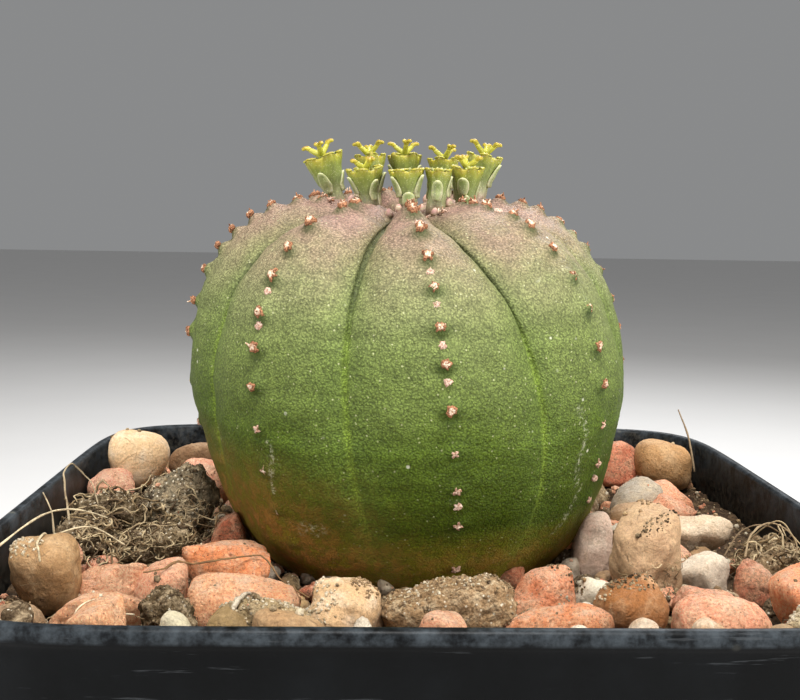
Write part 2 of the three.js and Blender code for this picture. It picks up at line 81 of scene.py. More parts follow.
def rgb(code, gain=1.0):
    """An sRGB hex code as linear red, green and blue."""
    parts = [int(code[i:i + 2], 16) / 255 for i in (0, 2, 4)]
    line = [p / 12.92 if p <= 0.04045 else ((p + 0.055) / 1.055) ** 2.4 for p in parts]
    return tuple(min(1.0, gain * v) for v in line)


LATTICE = np.random.RandomState(3).uniform(-1, 1, 65536)


def value_noise(points, size, seed=0):
    """Smooth noise from -1 to 1 whose cells are size millimetres wide."""
    q = np.asarray(points) / size + 17.13 * (seed + 1)
    cell = np.floor(q).astype(np.int64)
    f = q - cell
    f = f * f * (3 - 2 * f)
    total = np.zeros(q.shape[:-1])
    for dx in (0, 1):
        for dy in (0, 1):
            for dz in (0, 1):
                key = (cell[..., 0] + dx) * 73856093
                key = key ^ ((cell[..., 1] + dy) * 19349663)
                key = key ^ ((cell[..., 2] + dz) * 83492791)
                weight = (f[..., 0] if dx else 1 - f[..., 0])
                weight = weight * (f[..., 1] if dy else 1 - f[..., 1])
                weight = weight * (f[..., 2] if dz else 1 - f[..., 2])
                total += weight * LATTICE[key & 65535]
    return total


def fractal(points, size, octaves, seed=0):
    """Several octaves of value_noise, each half the size and half the height of the last."""
    total = 0.0
    for octave in range(octaves):
        total = total + value_noise(points, size / 2 ** octave, seed + octave) / 2 ** octave
    return total


def unit(v):
    """The vector, or each row of vectors, at length 1."""
    v = np.asarray(v, float)
    return v / np.linalg.norm(v, axis=-1, keepdims=True)


def step_up(x, low, high):
    """A smooth change from 0 to 1 as x goes from low to high."""
    t = np.clip((np.asarray(x, float) - low) / (high - low), 0, 1)
    return t * t * (3 - 2 * t)


class Soup:
    """Closed shapes gathered into one mesh, with a value or colour on each point."""

    def __init__(self):
        self.points, self.faces, self.marks, self.count = [], [], {}, 0

    def add(self, points, faces, **marks):
        """One more closed shape. A mark is a value for each point, or one for all."""
        points = np.asarray(points, float)
        self.points.append(points)
        self.faces.extend([[i + self.count for i in face] for face in faces])
        for name, value in marks.items():
            value = np.asarray(value, float)
            if name == "tint":
                value = np.broadcast_to(value, (len(points), 3))
            else:
                value = np.broadcast_to(value, (len(points),))
            self.marks.setdefault(name, []).append(value)
        self.count += len(points)

    def make(self, name, look, slot, replaces=()):
        """The mesh object, which rides the frame's root in place of the CAD nodes."""
        mesh = bpy.data.meshes.new(name)
        points = np.concatenate(self.points) * MM
        mesh.from_pydata(points.tolist(), [], self.faces)
        for mark, values in self.marks.items():
            values = np.concatenate(values)
            if mark == "tint":
                layer = mesh.attributes.new(mark, "FLOAT_COLOR", "POINT")
                full = np.concatenate([values, np.ones((len(values), 1))], 1)
                layer.data.foreach_set("color", full.ravel())
            else:
                layer = mesh.attributes.new(mark, "FLOAT", "POINT")
                layer.data.foreach_set("value", values.ravel())
        mesh.polygons.foreach_set("use_smooth", [True] * len(mesh.polygons))
        mesh.update()
        piece = bpy.data.objects.new(name, mesh)
        bpy.context.scene.collection.objects.link(piece)
        mesh.materials.append(look)
        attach(piece, "root")
        if replaces:
            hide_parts(*replaces)
        return piece


def loft(rings, first, last):
    """A closed body from an array of rings, with one point at each end."""
    rings = np.asarray(rings, float)
    count, steps = rings.shape[:2]
    points = np.concatenate([[first], rings.reshape(-1, 3), [last]])
    top = len(points) - 1
    faces = []
    for j in range(steps):
        k = (j + 1) % steps
        faces.append((0, 1 + k, 1 + j))
        base = 1 + (count - 1) * steps
        faces.append((top, base + j, base + k))
    for i in range(count - 1):
        a, b = 1 + i * steps, 1 + (i + 1) * steps
        for j in range(steps):
            k = (j + 1) % steps
            faces.append((a + j, a + k, b + k, b + j))
    return points, faces


def with_ends(values, first, last):
    """The values of a loft's rings between those of its two end points."""
    return np.concatenate([[first], values, [last]])


def ring_marks(values, steps):
    """One value for each ring, spread over the points of loft."""
    return with_ends(np.repeat(np.asarray(values, float), steps), values[0], values[-1])


def at_level(flat, z):
    """Points of a flat outline lifted to a level."""
    return np.concatenate([flat, np.full((len(flat), 1), z)], 1)


def smooth_path(points, steps):
    """A Catmull-Rom path through the points, with the given steps between two of them."""
    p = np.asarray(points, float)
    p = np.concatenate([[2 * p[0] - p[1]], p, [2 * p[-1] - p[-2]]])
    out = []
    for i in range(1, len(p) - 2):
        for s in range(steps):
            t = s / steps
            out.append(0.5 * (
                2 * p[i] + (p[i + 1] - p[i - 1]) * t
                + (2 * p[i - 1] - 5 * p[i] + 4 * p[i + 1] - p[i + 2]) * t * t
                + (3 * p[i] - p[i - 1] - 3 * p[i + 1] + p[i + 2]) * t ** 3
            ))
    out.append(p[-2])
    return np.array(out)


def tube(points, radii, sides=6):
    """A closed round bar along a path, with domed ends."""
    points = np.asarray(points, float)
    radii = np.broadcast_to(np.asarray(radii, float), (len(points),)).copy()
    along = unit(np.gradient(points, axis=0))
    side = np.cross(along[0], (0.31, 0.52, 0.79))
    rings = []
    angles = np.arange(sides) * 2 * math.pi / sides
    for i, point in enumerate(points):
        side = side - along[i] * np.dot(side, along[i])
        side = side / np.linalg.norm(side)
        other = np.cross(along[i], side)
        ring = np.outer(np.cos(angles), side) + np.outer(np.sin(angles), other)
        rings.append(point + radii[i] * ring)
    first = points[0] - along[0] * radii[0] * 0.6
    last = points[-1] + along[-1] * radii[-1] * 0.6
    return loft(rings, first, last)


BALLS = {}


def ball(level):
    """Directions and triangles of an icosphere."""
    if level not in BALLS:
        made = bmesh.new()
        bmesh.ops.create_icosphere(made, subdivisions=level, radius=1)
        made.verts.ensure_lookup_table()
        points = np.array([v.co[:] for v in made.verts])
        faces = [tuple(v.index for v in f.verts) for f in made.faces]
        made.free()
        BALLS[level] = (unit(points), faces)
    return BALLS[level]


def outline(half, steps):
    """Points of the pot's square outline, more of them where it turns."""
    angle = np.arange(steps) * 2 * math.pi / steps
    angle = angle - 0.18 * np.sin(4 * angle)
    x, y = np.cos(angle), np.sin(angle)
    power = 2 / OUTLINE_POWER
    x = np.sign(x) * np.abs(x) ** power
    y = np.sign(y) * np.abs(y) ** power
    return half * np.stack([x, y], 1)


def inside_half(z):
    """Half the width inside the pot at a level."""
    levels, halves = zip(*POT_INSIDE)
    return np.interp(z, levels, halves)


# ---- Node materials ----

class Look:
    """A node material around one Principled shader, with short names for common nodes."""

    def __init__(self, name, roughness=0.6, specular=0.4):
        self.material = bpy.data.materials.new(name)
        self.material.use_nodes = True
        self.tree = self.material.node_tree
        self.tree.nodes.clear()
        output = self.node("OutputMaterial")
        self.shader = self.node("BsdfPrincipled")
        self.tree.links.new(self.shader.outputs[0], output.inputs["Surface"])
        self.set("Roughness", roughness)
        self.set("Specular IOR Level", specular)
        self.place = self.node("TexCoord").outputs["Object"]

    def node(self, kind, inputs=None, **settings):
        """A new shader node with its settings, and its inputs by name or number."""
        node = self.tree.nodes.new("ShaderNode" + kind)
        for key, value in settings.items():
            setattr(node, key, value)
        for key, value in (inputs or {}).items():
            self.put(node.inputs[key], value)
        return node

    def put(self, socket, value):
        """Links a socket, or sets its own number or colour."""
        if isinstance(value, bpy.types.NodeSocket):
            self.tree.links.new(value, socket)
        elif isinstance(value, tuple) and len(value) == 3 and socket.type == "RGBA":
            socket.default_value = value + (1.0,)
        else:
            socket.default_value = value

    def set(self, name, value):
        """One input of the Principled shader."""
        self.put(self.shader.inputs[name], value)

    def noise(self, size, detail=3.0, rough=0.55, twist=0.0, at=None):
        """Noise from 0 to 1 whose features are size millimetres wide."""
        return self.node("TexNoise", {
            "Vector": at or self.place, "Scale": 1 / (size * MM), "Detail": detail,
            "Roughness": rough, "Distortion": twist,
        }).outputs[0]

    def cells(self, size, output="Distance", feature="F1", at=None):
        """Voronoi cells that are size millimetres wide."""
        inputs = {"Vector": at or self.place, "Scale": 1 / (size * MM)}
        return self.node("TexVoronoi", inputs, feature=feature).outputs[output]

    def spots(self, size, channel, share, fade):
        """Round spots in some cells: share limits the cells, fade the spots' edges."""
        pick = self.axis(channel, self.cells(size, "Color"))
        return self.times(self.between(pick, *share),
                          self.between(self.cells(size), *fade, 1.0, 0.0))

    def stretch(self, x, y, z):
        """Coordinates scaled along each axis."""
        inputs = {0: self.place, 1: (x, y, z)}
        return self.node("VectorMath", inputs, operation="MULTIPLY").outputs[0]

    def warped(self, size):
        """Object coordinates bent by noise, for cracks that wander."""
        noise = self.node("TexNoise", {"Vector": self.place, "Scale": 1 / (size * MM)})
        bend = self.shade(noise.outputs["Color"], 0.9 * size * MM)
        return self.node("VectorMath", {0: self.place, 1: bend}, operation="ADD").outputs[0]

    def axis(self, index, vector=None):
        """X, y or z of a vector, or of the place."""
        return self.node("SeparateXYZ", {0: vector or self.place}).outputs[index]

    def normal(self, index):
        """X, y or z of the surface's normal."""
        return self.axis(index, self.node("NewGeometry").outputs["Normal"])

    def mark(self, name, output="Fac"):
        """A value or colour that the mesh carries on its points."""
        return self.node("Attribute", attribute_name=name).outputs[output]

    def sum(self, operation, a, b):
        """Two values through one operation of a Math node."""
        return self.node("Math", {0: a, 1: b}, operation=operation).outputs[0]

    def times(self, *values):
        """The product of all values."""
        total = values[0]
        for value in values[1:]:
            total = self.sum("MULTIPLY", total, value)
        return total

    def between(self, value, low, high, start=0.0, end=1.0):
        """A smooth change from start to end as value goes from low to high."""
        return self.node("MapRange", {
            "Value": value, "From Min": low, "From Max": high, "To Min": start, "To Max": end,
        }, interpolation_type="SMOOTHSTEP").outputs[0]

    def ramp(self, value, stops):
        """A colour ramp through stops of (place, hex colour)."""
        node = self.node("ValToRGB", {0: value})
        items = node.color_ramp.elements
        while len(items) < len(stops):
            items.new(0.5)
        for item, (place, code) in zip(items, stops):
            item.position = place
            item.color = rgb(code) + (1.0,)
        return node.outputs[0]

    def mix(self, amount, a, b):
        """From colour a to colour b."""
        return self.node("Mix", {0: amount, 6: a, 7: b}, data_type="RGBA").outputs[2]

    def blend(self, base, code, *amounts):
        """The base colour turned towards a hex colour by the product of the amounts."""
        return self.mix(self.times(*amounts), base, rgb(code))

    def two_tone(self, value, low, high, first, second):
        """From one hex colour to another as value goes from low to high."""
        return self.mix(self.between(value, low, high), rgb(first), rgb(second))

    def shade(self, colour, factor):
        """The colour times a grey factor."""
        inputs = {0: colour, "Scale": factor}
        return self.node("VectorMath", inputs, operation="SCALE").outputs[0]

    def bump(self, *layers):
        """Bumps of (height socket, depth in millimetres), one on the other."""
        last = {}
        for height, depth in layers:
            inputs = {"Strength": 1.0, "Distance": depth * MM, "Height": height}
            last = {"Normal": self.node("Bump", {**inputs, **last}).outputs[0]}
        self.set("Normal", last["Normal"])


def skin_look():
    """Pebbled skin: pinkish brown at the crown, green below, olive and corky at the soil."""
    look = Look("plant_skin_look", specular=0.18)
    down, ridge = look.mark("down"), look.mark("ridge")
    patch = look.noise(9, 4)
    shifted = look.sum("ADD", down, look.times(look.sum("SUBTRACT", patch, 0.5), 0.10))
    base = look.ramp(shifted, [
        (0.00, "94816a"), (0.17, "99886f"), (0.25, "958b69"),
        (0.34, "848a5b"), (0.44, "6f7d42"), (0.55, "546820"),
        (0.66, "3c4e03"), (0.74, "5a6008"), (0.84, "8c7418"),
    ])
    # Pinkish brown blush on the shoulders, weaker in the furrows.
    blush = look.between(down, 0.20, 0.42, 1.0, 0.0)
    blotch = look.between(look.noise(6, 4, 0.6), 0.30, 0.60, 0.25, 1.0)
    flank = look.between(ridge, 0.80, 1.0, 1.0, 0.35)
    base = look.blend(base, "a07d74", blush, blotch, flank, 0.72)
    # Greener shade beside each furrow, and the line along its bottom.
    trough = look.between(ridge, 0.55, 1.0)
    base = look.blend(base, "5e7530", trough, 0.30)
    line = look.between(ridge, 0.93, 0.99)
    above = look.between(down, 0.36, 0.46, 1.0, 0.0)
    middle = look.times(
        look.between(down, 0.34, 0.44), look.between(down, 0.60, 0.72, 1.0, 0.0))
    base = look.blend(base, "4a5430", line, above, 0.70)
    base = look.blend(base, "7d9434", line, middle, 0.50)
    # Faint level bands.
    level = look.node("CombineXYZ", {2: look.sum("ADD", down, look.times(patch, 0.03))})
    bands = look.node("TexNoise", {"Vector": level.outputs[0], "Scale": 42.0, "Detail": 2.0})
    base = look.shade(base, look.between(bands.outputs[0], 0.3, 0.7, 0.92, 1.07))
    # Pebbled skin: pale cell middles over a darker net.
    pebbles = look.cells(0.25, at=look.warped(0.5))
    fine = look.noise(0.21, 3, 0.65)
    grain = look.sum("ADD", look.between(pebbles, 0.08, 0.72, 1.26, 0.66),
                     look.between(fine, 0.3, 0.7, -0.24, 0.24))
    base = look.shade(base, grain)
    cloud = look.between(look.noise(2.2, 4, 0.65), 0.3, 0.7, 0.80, 1.07)
    base = look.shade(base, cloud)
    # Tiny pale stomata specks and a few whitish mineral flecks.
    speck = look.spots(0.55, 0, (0.70, 0.80), (0.10, 0.24))
    base = look.blend(base, "c6c69c", speck, look.between(down, 0.40, 0.65, 0.58, 0.30))
    fleck = look.times(look.spots(1.5, 1, (0.90, 0.93), (0.08, 0.17)),
                       look.between(look.noise(7, 2), 0.42, 0.62))
    base = look.blend(base, "dcdcc8", fleck, 0.75)
    # Chalky scratches, corky patches near the soil, and the darker green of the tubercles' mounds
    # with painted shade below each tubercle.
    chalk = look.times(look.mark("chalk"), look.between(look.noise(0.45, 4, 0.7), 0.47, 0.62))
    base = look.blend(base, "c6c8ac", chalk, 0.62)
    cork = look.times(look.mark("cork"), look.between(look.noise(1.7, 6, 0.75), 0.42, 0.60))
    base = look.blend(base, "8f7628", look.mark("cork"), 0.58)
    base = look.blend(base, "946432", cork, 0.80)
    # Darker green on each tubercle's mound, with painted shade below the tubercle.
    dark = look.mark("mound")
    base = look.blend(base, "33471a", dark, 0.75)
    look.set("Base Color", base)
    look.set("Roughness", look.between(fine, 0.3, 0.7, 0.50, 0.68))
    look.bump((pebbles, -0.10), (fine, 0.07), (look.noise(0.9, 4), 0.10),
              (cork, 0.12))
    return look.material


def scar_look():
    """Scars on the tubercles: brown and ragged with a pale middle, or a pinkish dot."""
    look = Look("scar_look", specular=0.3, roughness=0.7)
    middle = look.mark("middle")
    kind = look.mark("kind")
    rim = look.two_tone(look.noise(0.16, 3), 0.35, 0.65, "5a3522", "b27c58")
    pale = look.two_tone(look.noise(0.16, 3), 0.35, 0.6, "b98a64", "ecdac4")
    ragged = look.mix(look.between(look.sum("ADD", middle, look.times(
        look.sum("SUBTRACT", look.noise(0.3, 3), 0.5), 0.7)), 0.45, 0.75), rim, pale)
    pink = look.two_tone(look.noise(0.2, 3), 0.35, 0.65, "ab7c66", "dcc4b2")
    look.set("Base Color", look.mix(kind, ragged, pink))
    look.bump((look.noise(0.18, 4), 0.07))
    return look.material


def cup_look():
    """Grey-green goblets that turn olive yellow at the rim, with pale bract edges."""
    look = Look("cup_look", specular=0.4, roughness=0.5)
    rise = look.mark("rise")
    patch = look.noise(1.1, 4)
    shifted = look.sum("ADD", rise, look.times(look.sum("SUBTRACT", patch, 0.5), 0.25))
    base = look.ramp(shifted, [
        (0.00, "96806e"), (0.18, "8b8a66"), (0.48, "7d8950"),
        (0.78, "7d883a"), (0.92, "94942f"), (1.00, "9c8f2e"),
    ])
    streaks = look.noise(0.35, 3, at=look.stretch(1, 1, 0.3))
    base = look.shade(base, look.between(streaks, 0.3, 0.7, 0.84, 1.14))
    edge = look.mark("edge")
    base = look.blend(base, "d0cda4", edge, look.between(patch, 0.2, 0.6, 0.45, 0.85))
    speck = look.between(look.cells(0.22), 0.12, 0.35, 0.30, 0.0)
    base = look.blend(base, "dfe0b8", speck)
    look.set("Base Color", base)
    look.set("Subsurface Weight", 0.25)
    look.set("Subsurface Radius", (0.6, 0.8, 0.25))
    look.set("Subsurface Scale", 0.0006)
    look.bump((streaks, 0.05), (look.noise(0.2, 3), 0.03))
    return look.material


def style_look():
    """Yellow styles with browner tips."""
    look = Look("style_look", specular=0.45, roughness=0.42)
    rise = look.mark("rise")
    base = look.ramp(rise, [
        (0.0, "9ea23c"), (0.6, "aeab3a"), (0.90, "aea032"),
        (1.0, "94702a"),
    ])
    patch = look.noise(0.4, 3)
    base = look.shade(base, look.between(patch, 0.3, 0.7, 0.86, 1.12))
    look.set("Base Color", base)
    look.set("Subsurface Weight", 0.2)
    look.set("Subsurface Radius", (0.8, 0.8, 0.2))
    look.set("Subsurface Scale", 0.0005)
    look.bump((look.noise(0.15, 3), 0.03))
    return look.material


def brick_look():
    """Crushed brick: sandy, pitted and dusty on top."""
    look = Look("brick_look", specular=0.12, roughness=0.95)
    base = look.shade(look.mark("tint", "Color"), 1.65)
    cloud = look.noise(2.2, 6, 0.7)
    base = look.blend(base, "fbcfa8", look.between(cloud, 0.36, 0.66, 0.0, 0.70))
    base = look.blend(base, "bd7248",
                      look.between(look.noise(1.1, 6, 0.75, 0.6), 0.50, 0.68, 0.0, 0.50))
    sand = look.noise(0.30, 5, 0.80)
    base = look.shade(base, look.between(sand, 0.32, 0.68, 0.66, 1.52))
    pit = look.spots(0.42, 0, (0.62, 0.70), (0.08, 0.30))
    base = look.blend(base, "6a3b26", pit, 0.60)
    grain = look.spots(0.33, 1, (0.72, 0.82), (0.08, 0.28))
    base = look.blend(base, "f7e4cc", grain, 0.60)
    dust = look.times(look.between(look.normal(2), 0.35, 0.95),
                      look.between(look.noise(1.4, 6, 0.75), 0.42, 0.64), 0.45)
    base = look.blend(base, "f4dcc2", dust)
    look.set("Base Color", base)
    look.bump((pit, -0.24), (sand, 0.28), (look.noise(0.6, 5, 0.7), 0.34),
              (look.noise(1.3, 4), 0.32))
    return look.material


def pebble_look(name, dark, light, vein, roughness, specular):
    """Pebbles with darker and lighter clouds, specks, faint cracks and dirt low down."""
    look = Look(name, specular=specular, roughness=roughness)
    base = look.mark("tint", "Color")
    cloud = look.noise(2.4, 5, 0.6, 0.4)
    base = look.blend(base, light, look.between(cloud, 0.4, 0.75, 0.0, 0.55))
    base = look.blend(base, dark, look.between(look.noise(1.5, 5, 0.7, 0.8), 0.5, 0.75, 0.0, 0.5))
    crack = look.between(look.cells(3.6, feature="DISTANCE_TO_EDGE", at=look.warped(1.2)),
                         0.0, 0.022, 1.0, 0.0)
    crack = look.times(crack, look.between(look.noise(2.2, 3), 0.54, 0.64))
    base = look.blend(base, vein, crack, 0.28)
    fine = look.noise(0.30, 6, 0.78)
    base = look.shade(base, look.between(fine, 0.30, 0.70, 0.74, 1.20))
    speck = look.spots(0.45, 0, (0.72, 0.82), (0.06, 0.26))
    base = look.blend(base, vein, speck, 0.60)
    dirt = look.times(look.between(look.axis(2), 0.0735, 0.0775, 1.0, 0.0),
                      look.between(look.noise(1.2, 5, 0.7), 0.4, 0.62), 0.7)
    base = look.blend(base, "5a4430", dirt)
    look.set("Base Color", base)
    look.bump((crack, -0.10), (fine, 0.20), (look.noise(0.8, 5, 0.7), 0.36))
    return look.material


def earth_look():
    """Crumbs and lumps of sandy earth."""
    look = Look("earth_look", specular=0.15, roughness=0.97)
    base = look.mark("tint", "Color")
    cloud = look.noise(1.3, 5, 0.7, 0.5)
    base = look.blend(base, "c9b290", look.between(cloud, 0.42, 0.7, 0.0, 0.75))
    base = look.blend(base, "38291d",
                      look.between(look.noise(0.8, 5, 0.75, 0.7), 0.5, 0.66, 0.0, 0.8))
    fine = look.noise(0.22, 5, 0.75)
    base = look.shade(base, look.between(fine, 0.25, 0.75, 0.66, 1.28))
    grain = look.spots(0.4, 2, (0.76, 0.82), (0.18, 0.34))
    base = look.blend(base, "eadfc8", grain, 0.7)
    look.set("Base Color", base)
    look.bump((fine, 0.18), (look.cells(0.33), -0.15), (look.noise(0.7, 4), 0.25))
    return look.material


def soil_look():
    """Dark potting mix with paler grains."""
    look = Look("soil_look", specular=0.12, roughness=0.98)
    base = look.ramp(look.noise(1.4, 6, 0.7, 0.5), [
        (0.30, "231a12"), (0.48, "3f3022"), (0.60, "5d4a36"),
        (0.74, "8d7656"),
    ])
    fine = look.noise(0.25, 5, 0.75)
    base = look.shade(base, look.between(fine, 0.25, 0.75, 0.6, 1.3))
    grain = look.spots(0.6, 0, (0.80, 0.85), (0.2, 0.35))
    base = look.blend(base, "c9a888", grain, 0.7)
    look.set("Base Color", base)
    look.bump((fine, 0.22), (look.cells(0.5), -0.25), (look.noise(1.1, 4), 0.3))
    return look.material


def fibre_look():
    """Dry roots and twigs."""
    look = Look("fibre_look", specular=0.25, roughness=0.8)
    base = look.mark("tint", "Color")
    base = look.blend(base, "54402c", look.between(look.noise(1.1, 4, 0.65), 0.42, 0.68, 0.0, 0.6))
    fine = look.noise(0.12, 3, 0.7)
    base = look.shade(base, look.between(fine, 0.3, 0.7, 0.78, 1.2))
    look.set("Base Color", base)
    look.bump((fine, 0.04))
    return look.material


def pot_look():
    """Black plastic with a film of dust, scuffs, a few chalky splashes and a painted bluish
    highlight on the lip.
    """
    look = Look("pot_look", specular=0.08)
    film = look.noise(14, 5, 0.6)
    fine = look.noise(0.7, 5, 0.7)
    base = look.two_tone(film, 0.4, 0.7, "050607", "0c0e10")
    # Pale dust on the inner wall, thicker low down, and a painted bluish highlight on the top of the
    # lip.
    inner = look.mark("inner")
    dust = look.times(inner, look.between(fine, 0.40, 0.70), look.between(film, 0.3, 0.7, 0.3, 1.0))
    base = look.blend(base, "6a655a", dust, 0.40)
    # Painted highlight: patchy bluish grey on the top of the lip.
    lip = look.times(look.mark("lip"), look.between(look.noise(2.5, 5, 0.7), 0.35, 0.7))
    base = look.blend(base, "4b5258", lip, 0.55)
    # Fine scuffs that run round the wall, and chalky splashes.
    scuff = look.between(look.noise(1.2, 4, 0.7, at=look.stretch(0.12, 0.12, 2.2)), 0.62, 0.70)
    base = look.blend(base, "4a4d50", scuff, 0.30)
    splash = look.spots(2.6, 0, (0.88, 0.92), (0.10, 0.22))
    base = look.blend(base, "7c7a70", splash, 0.35)
    look.set("Base Color", base)
    rough = look.sum("ADD", look.between(film, 0.3, 0.7, 0.34, 0.46), look.times(dust, 0.35))
    look.set("Roughness", look.sum("ADD", rough, look.times(scuff, 0.12)))
    look.bump((fine, 0.02), (look.noise(0.25, 3), 0.012), (scuff, -0.01))
    return look.material


# ---- Stem ----

LEAN = unit([math.sin(STEM_LEAN[0]), math.sin(STEM_LEAN[1]), 1.0])
SIDE = unit(np.array([1.0, 0, 0]) - LEAN * LEAN[0])
BACK = np.cross(LEAN, SIDE)


def smooth_value(table, x):
    """Cubic pieces through a table of (position, value), level at both ends."""
    xs, ys = (np.array(column, float) for column in zip(*table))
    slope = np.zeros(len(xs))
    slope[1:-1] = (ys[2:] - ys[:-2]) / (xs[2:] - xs[:-2])
    row = np.clip(np.searchsorted(xs, x, side="left") - 1, 0, len(xs) - 2)
    span = xs[row + 1] - xs[row]
    s = (x - xs[row]) / span
    rise = ys[row] * (1 + 2 * s) * (1 - s) ** 2 + ys[row + 1] * s * s * (3 - 2 * s)
    return rise + span * (slope[row] * s * (1 - s) ** 2 - slope[row + 1] * s * s * (1 - s))


def line_azimuth(line, degrees):
    """Azimuth of a crest or furrow line, in radians."""
    below = np.clip(np.radians(degrees) - math.pi / 2, -LINE_REACH, LINE_REACH)
    return np.radians(line[0] + line[1] * below + line[2] * below * below)


def stem_point(degrees, azimuth, ridge):
    """Points of the skin by the angle down from the crown and the azimuth."""
    degrees = np.asarray(degrees, float)
    eased = ridge * 0.97
    section = 1 - 0.75 * np.sqrt(1 - eased * eased) - 0.25 * (1 - eased)
    depth = np.interp(degrees, *zip(*FURROW_DEPTH))
    radius = smooth_value(CREST_RADIUS, degrees) * (1 - depth * section)
    down = np.radians(degrees)
    up = radius * np.cos(down)
    out = radius * np.sin(down)
    drift = up / DRIFT_SCALE
    point = STEM_CENTRE + (out * np.sin(azimuth))[..., None] * SIDE
    point = point - (out * np.cos(azimuth))[..., None] * BACK + up[..., None] * LEAN
    point[..., 0] += STEM_DRIFT[0] * drift + STEM_DRIFT[1] * drift * drift
    return point


# Width of the stem at a level, for keeping the gravel clear of it.
WAIST_DOWN = np.linspace(90, 180, 91)
WAIST_RADIUS = smooth_value(CREST_RADIUS, WAIST_DOWN)
WAIST_LEVEL = STEM_CENTRE[2] + WAIST_RADIUS * np.cos(np.radians(WAIST_DOWN))
WAIST_OUT = WAIST_RADIUS * np.sin(np.radians(WAIST_DOWN))


def stem_axis(z):
    """Middle of the stem at a level, as x and y."""
    rise = np.asarray(z, float) - STEM_CENTRE[2]
    drift = rise / DRIFT_SCALE
    x = STEM_CENTRE[0] + STEM_DRIFT[0] * drift + STEM_DRIFT[1] * drift * drift
    return np.stack([x + rise * LEAN[0], rise * LEAN[1]], -1)


def stem_width(z):
    """Radius of the stem at a level below its widest."""
    return np.interp(z, WAIST_LEVEL[::-1], WAIST_OUT[::-1])


# Rows of tubercles: degrees down from the crown on each rib. A mark above 1000 is a small
# pale dot, which lies between two flowering tubercles.
DOT = 1000
ROWS = {
    0: [26, 32, 44, 53, 61, DOT + 65, 70, DOT + 73, 78, 87, 97, 107, 117, 126],
    1: [26, 29, 34, DOT + 42, 45, 54, DOT + 58, 62, DOT + 66, 71, DOT + 75, 79,
        DOT + 83, 89, 99, 108, DOT + 112, 117, 130],
    2: [25, 29, 33, DOT + 37, 41, 46, 54, 62, 70, 79, 88, 98, 108, DOT + 112, 118],
    3: [27, 33, 39, 44, 50, 55, 60, 67, 75, 83, 92, 102, 112],
    7: [26, 33, 40, 46, 52, 58, 65, 74, 82, 95, 106],
}


def tubercles():
    """Every tubercle as (rib, degrees, kind, size); the kinds are crater, dot and star."""
    chance = np.random.RandomState(21)
    rows = dict(ROWS)
    for rib in (4, 5, 6):
        row, at = [], 24.0
        while at < 124:
            row.append(at)
            at += chance.uniform(5.5, 9.5)
        rows[rib] = row
    found = []
    for rib in sorted(rows):
        for place in rows[rib]:
            if place > DOT:
                found.append((rib, place - DOT, "dot", chance.uniform(0.85, 1.1)))
            elif place < 93:
                found.append((rib, place, "crater", chance.uniform(0.85, 1.15)))
            else:
                found.append((rib, place, "star", chance.uniform(0.85, 1.15)))
    return found


def tubercle_frame(rib, degrees):
    """Foot, outward normal and downhill direction of a tubercle."""
    line = RIBS[rib][0]
    here = stem_point(degrees, line_azimuth(line, degrees), 0.0)
    below = stem_point(degrees + 0.5, line_azimuth(line, degrees + 0.5), 0.0)
    beside = stem_point(degrees, line_azimuth(line, degrees) + 0.01, 0.0)
    fall = unit(below - here)
    normal = unit(np.cross(fall, beside - here))
    if np.dot(normal, here - STEM_CENTRE) < 0:
        normal = -normal
    return here, normal, fall


def arc_distance(points, path):
    """Distance of each point from a path of points."""
    best = np.full(len(points), 1e9)
    for spot in path:
        best = np.minimum(best, np.linalg.norm(points - spot, axis=1))
    return best


